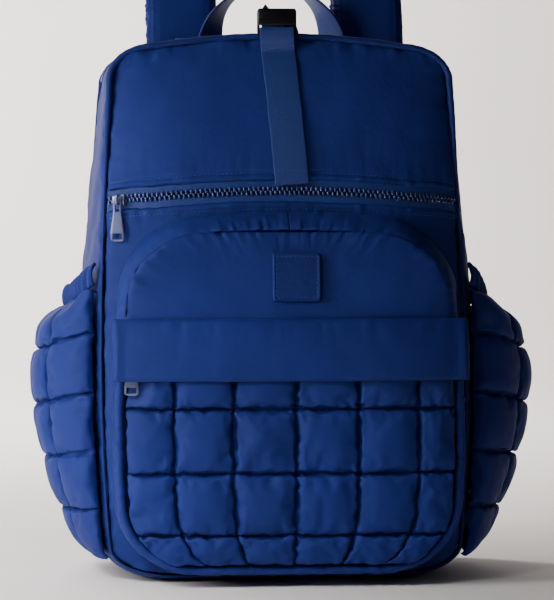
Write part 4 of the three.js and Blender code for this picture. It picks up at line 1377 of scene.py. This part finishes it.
# %% Sliders and pullers
slider_size = (11, 2.5, 9)
bridge_gap = 2.8
bridge_half = 4.3
bridge_bar = 1.6
bridge_root = bridge_half - 0.8
bridge_bend = bridge_half - 1.1
bridge_flat = bridge_half - 2.2
plate_rim = 1.5
plate_thickness = 1.6
plate_corner = 1.6
puller_rows = [
    (-33.25, 3.7, False), (-31.75, 5.5, True), (-26.85, 5.5, False), (-25.2, 5.5, False),
    (-11.2, 3.3, False), (-9.75, 3.3, True), (-0.75, 3.3, False), (0.75, 3.3, False),
]
joints = {joint["name"]: joint for joint in frame["record"]["behaviour"]["joints"]}


def hinge_matrix(joint):
    ahead = -Vector(joint["axis"]).normalized()
    up = Vector((0, 0, 1))
    matrix = Matrix((ahead, up.cross(ahead), up)).transposed().to_4x4()
    matrix.translation = Vector(joint["pos_m"])
    return matrix


for name, joint_name, body in [
    ("front", "front_puller_swing", "front_puller"), ("pocket", "pocket_puller_swing", "pocket_puller"),
]:
    seat = hinge_matrix(joints[joint_name])
    puller = window_plate(puller_rows, plate_rim, plate_thickness, plate_corner, 0.4)
    bmesh.ops.transform(puller, matrix=seat, verts=puller.verts[:])
    write_piece(f"{name}_pull_tab", puller, lacquered_zinc, [f"{name}_zip_puller"],
                body=body)
    back_of_block = slider_size[1] + bridge_gap / 2
    block = bmesh.new()
    bmesh.ops.create_cube(block, size=1.0)
    bmesh.ops.scale(block, vec=Vector(slider_size) * MM, verts=block.verts[:])
    bmesh.ops.translate(block, vec=(0, (back_of_block - slider_size[1] / 2) * MM, 0), verts=block.verts[:])
    nose = [vert for vert in block.verts if vert.co.x < 0]
    bmesh.ops.scale(block, vec=(1, 1, 0.62), verts=nose)
    bmesh.ops.bevel(block, geom=block.edges[:], offset=0.7 * MM, segments=2, profile=0.5, affect="EDGES",
                    material=-1)
    foot = back_of_block - slider_size[1] + 0.2
    crest = -bridge_gap / 2 - bridge_bar / 2
    arch_path = smooth_path([
        (0, foot, -bridge_root), (0, foot - 1.4, -bridge_root), (0, crest + 0.5, -bridge_bend),
        (0, crest, -bridge_flat), (0, crest, 0), (0, crest, bridge_flat),
        (0, crest + 0.5, bridge_bend), (0, foot - 1.4, bridge_root), (0, foot, bridge_root),
    ])
    arch = carried(arch_path, lambda share: Vector((1, 0, 0)), lambda share: 2.4, 1.6, 3.5, 12, 32)
    arch_mesh = make_template(f"{name}_arch", arch)
    block.from_mesh(arch_mesh)
    bmesh.ops.transform(block, matrix=seat, verts=block.verts[:])
    write_piece(f"{name}_slider_body", block, lacquered_zinc, [f"{name}_zip_slider"])

for name in ("main_zip_slider_left", "main_zip_slider_right"):
    hidden_slider = frame["nodes"][name]
    hidden_slider.data.materials.clear()
    hidden_slider.data.materials.append(lacquered_zinc)

# %% [markdown]
# ## Buckle and compression webbing
# The buckle is a glossy slotted frame with a closed cover over its upper half.

# %% Buckle
buckle_x = -7
buckle_size = (31.5, 5, 21.5)
buckle_bar = 4
buckle_slot = 4.4
buckle_low = body_height + clearance
buckle_y = front_y(body_height) - piping_radius - buckle_size[1] / 2 - 1
buckle_rows = [
    (0, buckle_size[0] / 2, False), (buckle_bar, buckle_size[0] / 2, True),
    (buckle_bar + buckle_slot, buckle_size[0] / 2, False),
    (buckle_size[2] - buckle_bar - buckle_slot, buckle_size[0] / 2, True),
    (buckle_size[2] - buckle_bar, buckle_size[0] / 2, False), (buckle_size[2], buckle_size[0] / 2, False),
]
buckle = window_plate(buckle_rows, 1.9, buckle_size[1], 3.4, 0.9)
cover_height = buckle_size[2] - buckle_bar - buckle_slot
cover = bmesh.new()
bmesh.ops.create_cube(cover, size=1.0)
bmesh.ops.scale(cover, vec=Vector((buckle_size[0] - 1.2, 2.6, cover_height)) * MM, verts=cover.verts[:])
bmesh.ops.translate(cover, vec=Vector((0, -1.9, buckle_size[2] - cover_height / 2 - 0.3)) * MM,
                    verts=cover.verts[:])
upright = [edge for edge in cover.edges if abs(edge.verts[0].co.y - edge.verts[1].co.y) > 1 * MM
           and edge.verts[0].co.z > cover_height * MM]
bmesh.ops.bevel(cover, geom=upright, offset=3.0 * MM, segments=5, profile=0.5, affect="EDGES", material=-1)
rims = [edge for edge in cover.edges if edge.calc_face_angle(0) > 0.9]
bmesh.ops.bevel(cover, geom=rims, offset=0.8 * MM, segments=3, profile=0.5, affect="EDGES", material=-1)
buckle.from_mesh(make_template("buckle_cover", cover))
bmesh.ops.translate(buckle, vec=Vector((buckle_x, buckle_y, buckle_low)) * MM, verts=buckle.verts[:])
write_piece("top_buckle_frame", buckle, black_nylon, ["top_buckle"])

# %% [markdown]
# The tail webbing passes over the buckle's lower bar and hangs down the front panel. A second webbing
# comes over the top from the back seam and holds the buckle by its upper bar.

# %% Tail and anchor webbing
tail_width = 27
tail_end = 318
tail_end_x = 3.6
webbing_thickness = 1.8
bar_clear = webbing_thickness / 2 + clearance
tail_top = buckle_low + buckle_bar + bar_clear
sideways = lambda share: Vector((1, 0, 0))


def tail_y(z):
    return min(panel_y(0, z), front_y(body_height) - piping_radius) - bar_clear - 2 * clearance


tail_stations = 11
tail_points = [
    (buckle_x, buckle_y + buckle_size[1] / 2 + bar_clear, tail_top),
    (buckle_x, buckle_y, tail_top + 0.6),
    (buckle_x, buckle_y - buckle_size[1] / 2 - bar_clear, tail_top - 0.6),
    (buckle_x, buckle_y - buckle_size[1] / 2 - bar_clear, buckle_low - buckle_bar / 2),
]
for index in range(tail_stations):
    share = (index + 1.1) / (tail_stations + 0.1)
    height = lerp(buckle_low, tail_end, share)
    tail_points.append((lerp(buckle_x, tail_end_x, share), tail_y(height), height))
tail = carried(smooth_path(tail_points), sideways, lambda share: tail_width, webbing_thickness, 10, 40, 150,
               relief=lambda turn, share: 0.25 * noise.noise(Vector((share * 9, 0, 95))))
write_piece("tail_webbing", tail, webbing, ["webbing_tail"])

anchor_stations = [0.86, 0.66, 0.45, 0.2]
upper_bar = buckle_low + buckle_size[2] - buckle_bar


def top_height(y):
    span = back_y(body_height) - front_y(body_height)
    return gusset_point(0.5, (y - front_y(body_height)) / span).z


anchor_points = [
    (0, back_y(body_height) + piping_radius + back_swell / 2 + bar_clear, body_height - 20),
    (0, back_y(body_height) + piping_radius + bar_clear + 0.6, body_height),
    (0, back_y(body_height), body_height + piping_radius + bar_clear + 0.6),
]
for share in anchor_stations:
    y = lerp(front_y(body_height), back_y(body_height), share)
    anchor_points.append((0, y, top_height(y) + piping_radius + bar_clear))
anchor_points += [
    (buckle_x, buckle_y + buckle_size[1] / 2 + bar_clear + 1, upper_bar - buckle_slot),
    (buckle_x, buckle_y + 1, upper_bar - buckle_slot / 2),
]
anchor = carried(smooth_path(anchor_points), sideways, lambda share: tail_width, webbing_thickness, 10,
                 40, 120)
write_piece("anchor_band", anchor, webbing, ["anchor_webbing"])

# %% [markdown]
# ## Haul handle
# The handle is a loop of webbing. It leaves the back seam flat and turns on edge at the top, where a
# hand goes through.

# %% Haul handle
handle_spacing = 106
handle_width = 24
handle_rise = 52
handle_root = 14
handle_thickness = 2.4


def handle_path(share):
    angle = math.pi * clamp(share, 0, 1)
    rise = max(math.sin(angle), 0)
    z = body_height - handle_root + (handle_rise + handle_root) * rise ** 0.8
    turned = handle_width / 2 * rise ** 0.7
    y = back_y(body_height) + piping_radius + handle_thickness / 2 + 4 * clearance + turned
    return Vector((-math.cos(angle) * handle_spacing / 2, y, z))


def handle_across(share):
    turned = math.pi / 2 * max(math.sin(math.pi * clamp(share, 0, 1)), 0) ** 0.7
    flat = 1 if share < 0.5 else -1
    return Vector((math.cos(turned) * flat, math.sin(turned), 0))


handle = carried(handle_path, handle_across, lambda share: handle_width, handle_thickness, 8, 40, 140)
write_piece("haul_handle_webbing", handle, webbing, ["haul_handle"])

# %% [markdown]
# ## Shoulder straps
# A strap is foam between two cloths, bound along both edges. It stands up from the top of the back,
# turns over and hangs to its adjuster.

# %% Shoulder straps
strap_width = 59
strap_end_width = 44
strap_thickness = 11
strap_spacing = 160
strap_shift = 4
strap_spread = 20
strap_rise = 46
strap_reach = 44
strap_start = 396
strap_end = 150
strap_route = [(0, 0), (0.4, 0.16), (0.8, 0.33), (1, 0.6), (0.9, 0.92), (0.5, 1), (-0.3, 0.96),
               (-1.1, 0.8), (-1.9, 0.6), (-2.8, 0.4)]
adjuster_height = 27
adjuster_frame = 4
adjuster_depth = 5
lower_width = 25
lower_spread = 8
anchor_height = 34
adjuster_drop = 8


def strap_points(side):
    points = []
    for height, behind in strap_route:
        if height < 0:
            z = lerp(strap_start, strap_end, height / strap_route[-1][0])
        else:
            z = lerp(strap_start, body_height + strap_rise, height)
        drop = clamp((strap_start - z) / (strap_start - strap_end), 0, 1)
        x = strap_shift + side * (strap_spacing / 2 + strap_spread * drop)
        seat = back_panel_y(x, min(z, strap_start)) + strap_thickness / 2 + 2 * clearance
        points.append((x, seat + strap_reach * behind, z))
    return points


def strap_width_at(share):
    return lerp(strap_width, strap_end_width, clamp(2 * share - 1, 0, 1))


def strap_relief(turn, share):
    across = abs(math.cos(turn * math.tau))
    groove = -1.4 * dip(across - 0.83, 0.035) - 0.8 * dip(across - 0.62, 0.03)
    ruffle = 1.6 * noise.noise(Vector((share * 85, turn * 3, 97))) * clamp((across - 0.72) / 0.2, 0, 1)
    return groove + ruffle + 0.6 * noise.noise(Vector((share * 12, turn * 4, 99)))


for name, side in [("left", -1), ("right", 1)]:
    points = strap_points(side)
    pad = carried(smooth_path(points), sideways, strap_width_at, strap_thickness, 3.2, 56, 220,
                  relief=strap_relief)
    strap = write_piece(f"padded_strap_{name}", pad, nylon, [f"shoulder_strap_{name}"])

    end = Vector(points[-1])
    adjuster_z = end.z - adjuster_drop - adjuster_height / 2
    half = lower_width / 2 + adjuster_frame
    low = -adjuster_height / 2
    slot_height = (adjuster_height - 3 * adjuster_frame) / 2
    levels = [low, low + adjuster_frame, -adjuster_frame / 2, adjuster_frame / 2,
              -low - adjuster_frame, -low]
    rows = [(level, half, index in (1, 3)) for index, level in enumerate(levels)]
    adjuster = window_plate(rows, adjuster_frame - 1, adjuster_depth, 3, 0.9)
    bmesh.ops.translate(adjuster, vec=Vector((end.x, end.y, adjuster_z)) * MM, verts=adjuster.verts[:])
    write_piece(f"strap_slider_{name}", adjuster, black_nylon, [f"strap_adjuster_{name}"])

    clear = adjuster_depth / 2 + webbing_thickness / 2 + clearance
    bar_top = adjuster_z + adjuster_height / 2 - adjuster_frame / 2
    bar_low = bar_top - adjuster_frame / 2
    tongue_points = [
        (end.x, end.y + clear / 2, end.z - 1.2), (end.x, end.y + clear, bar_top + 2),
        (end.x, end.y + clear, bar_low - 1), (end.x, end.y + clear * 0.6, bar_low - slot_height * 0.4),
        (end.x, end.y, bar_low - slot_height * 0.55),
    ]
    tongue = carried(smooth_path(tongue_points), sideways, lambda share: lower_width, webbing_thickness, 10,
                     32, 40)
    write_piece(f"strap_tab_{name}", tongue, webbing, [f"strap_tongue_{name}"])

    root_x = end.x + side * lower_spread
    root_y = back_panel_y(root_x, anchor_height) + webbing_thickness / 2 + 2 * clearance
    lower_points = [
        (end.x, end.y - clear, adjuster_z - adjuster_height / 2 + adjuster_frame / 2),
        (end.x, end.y - clear, adjuster_z - adjuster_height / 2 - 3),
        (lerp(end.x, root_x, 0.15), lerp(root_y, end.y, 0.6), lerp(adjuster_z, anchor_height, 0.45)),
        (lerp(end.x, root_x, 0.75), lerp(root_y, end.y, 0.2), lerp(adjuster_z, anchor_height, 0.8)),
        (root_x, root_y, anchor_height),
    ]
    lower = carried(smooth_path(lower_points), sideways, lambda share: lower_width, webbing_thickness, 10,
                    32, 90)
    write_piece(f"lower_strap_{name}", lower, webbing, [f"lower_webbing_{name}"])

# %% [markdown]
# ## Stitches
# Topstitching is what says sewn rather than moulded. One stitch is a small grain of thread, and it is
# copied along each line with a gap after it.

# %% Stitches
stitch_pitch = 3.4
stitch_length = 2.4
stitch_radius = 0.32
stitch_lift = 0.1
label_stitch_inset = 3.2
tail_stitch_height = 11

grain = bmesh.new()
bmesh.ops.create_uvsphere(grain, u_segments=6, v_segments=4, radius=1.0)
bmesh.ops.rotate(grain, matrix=Matrix.Rotation(math.pi / 2, 3, "Y"), verts=grain.verts[:])
bmesh.ops.scale(grain, vec=Vector((stitch_length / 2, stitch_radius, stitch_radius)) * MM,
                verts=grain.verts[:])
grain_mesh = make_template("stitch_grain", grain)


def stitch_line(name, path, outward):
    points = [path(i / 80) for i in range(81)]
    length = sum((b - a).length for a, b in zip(points, points[1:]))
    count = max(int(length / stitch_pitch), 2)
    matrices = [frame_at(path, (index + 0.5) / count, outward) for index in range(count)]
    return write_piece(name, add_copies(grain_mesh, matrices), thread)


def panel_line(offset, lift):
    def path(share):
        place = front_panel(lerp(0.012, 0.988, share), zip_share + offset * band_scale)
        place.y -= lift
        return place

    return path


stitch_line("zip_stitches_high", panel_line(zip_band / 2 + stitch_inset, stitch_lift), front)
stitch_line("zip_stitches_low", panel_line(-zip_band / 2 - stitch_inset, stitch_lift), front)


def label_line(share):
    half = label_size / 2 - label_stitch_inset
    side, along = divmod(clamp(share, 0, 0.99999) * 4, 1)
    slide = lerp(-half, half, along)
    x, z = [(slide, -half), (half, slide), (-slide, half), (-half, -slide)][int(side)]
    x += label_x
    return Vector((x, face_y(x, label_height + z) - 3.1, label_height + z))


stitch_line("label_stitches", label_line, front)


def tail_line(share):
    x = tail_end_x + lerp(-tail_width / 2 + 1.5, tail_width / 2 - 1.5, share)
    height = tail_end + tail_stitch_height
    return Vector((x, tail_y(height) - webbing_thickness / 2 - stitch_lift, height))


stitch_line("tail_stitches", tail_line, front)

# %% [markdown]
# ## Floor
# A pale seamless sweep: flat where the bag stands, rising behind it in a wide curve.

# %% Floor and backdrop
sweep_depth = 2200
sweep_radius = 900
sweep_half_width = 4000
sweep_front = -3500
sweep_length = 6000
floor_level = -0.2
material, tree = new_material("matt_studio_paper")
place = add_node(tree, "ShaderNodeTexCoord").outputs["Object"]
mottle = add_node(tree, "ShaderNodeTexNoise", {"Scale": 3.0, "Detail": 2.0}, {"Vector": place})
paper_colour = two_tones(tree, mottle.outputs["Fac"], "#efe9e6", "#f3eeea")
paper = finish_material(material, tree, {"Roughness": 0.85, "Specular IOR Level": 0.1},
                        {"Base Color": paper_colour})


def sweep_point(u, v):
    x = lerp(-sweep_half_width, sweep_half_width, u)
    along = lerp(sweep_front, sweep_length, v)
    bend = sweep_radius * math.pi / 2
    if along < sweep_depth:
        return Vector((x, along, floor_level))
    if along < sweep_depth + bend:
        angle = (along - sweep_depth) / sweep_radius
        height = sweep_radius * (1 - math.cos(angle))
        return Vector((x, sweep_depth + sweep_radius * math.sin(angle), height + floor_level))
    height = sweep_radius + along - sweep_depth - bend
    return Vector((x, sweep_depth + sweep_radius, height + floor_level))


floor_mesh = bpy.data.meshes.new("studio_sweep")
floor_grid = laid_grid(sweep_point, 4, 120, lambda place: Vector((0, -1, 1)))
floor_grid.to_mesh(floor_mesh)
floor_grid.free()
floor_mesh.shade_smooth()
floor_mesh.materials.append(paper)
floor = bpy.data.objects.new("studio_sweep", floor_mesh)
bpy.context.collection.objects.link(floor)
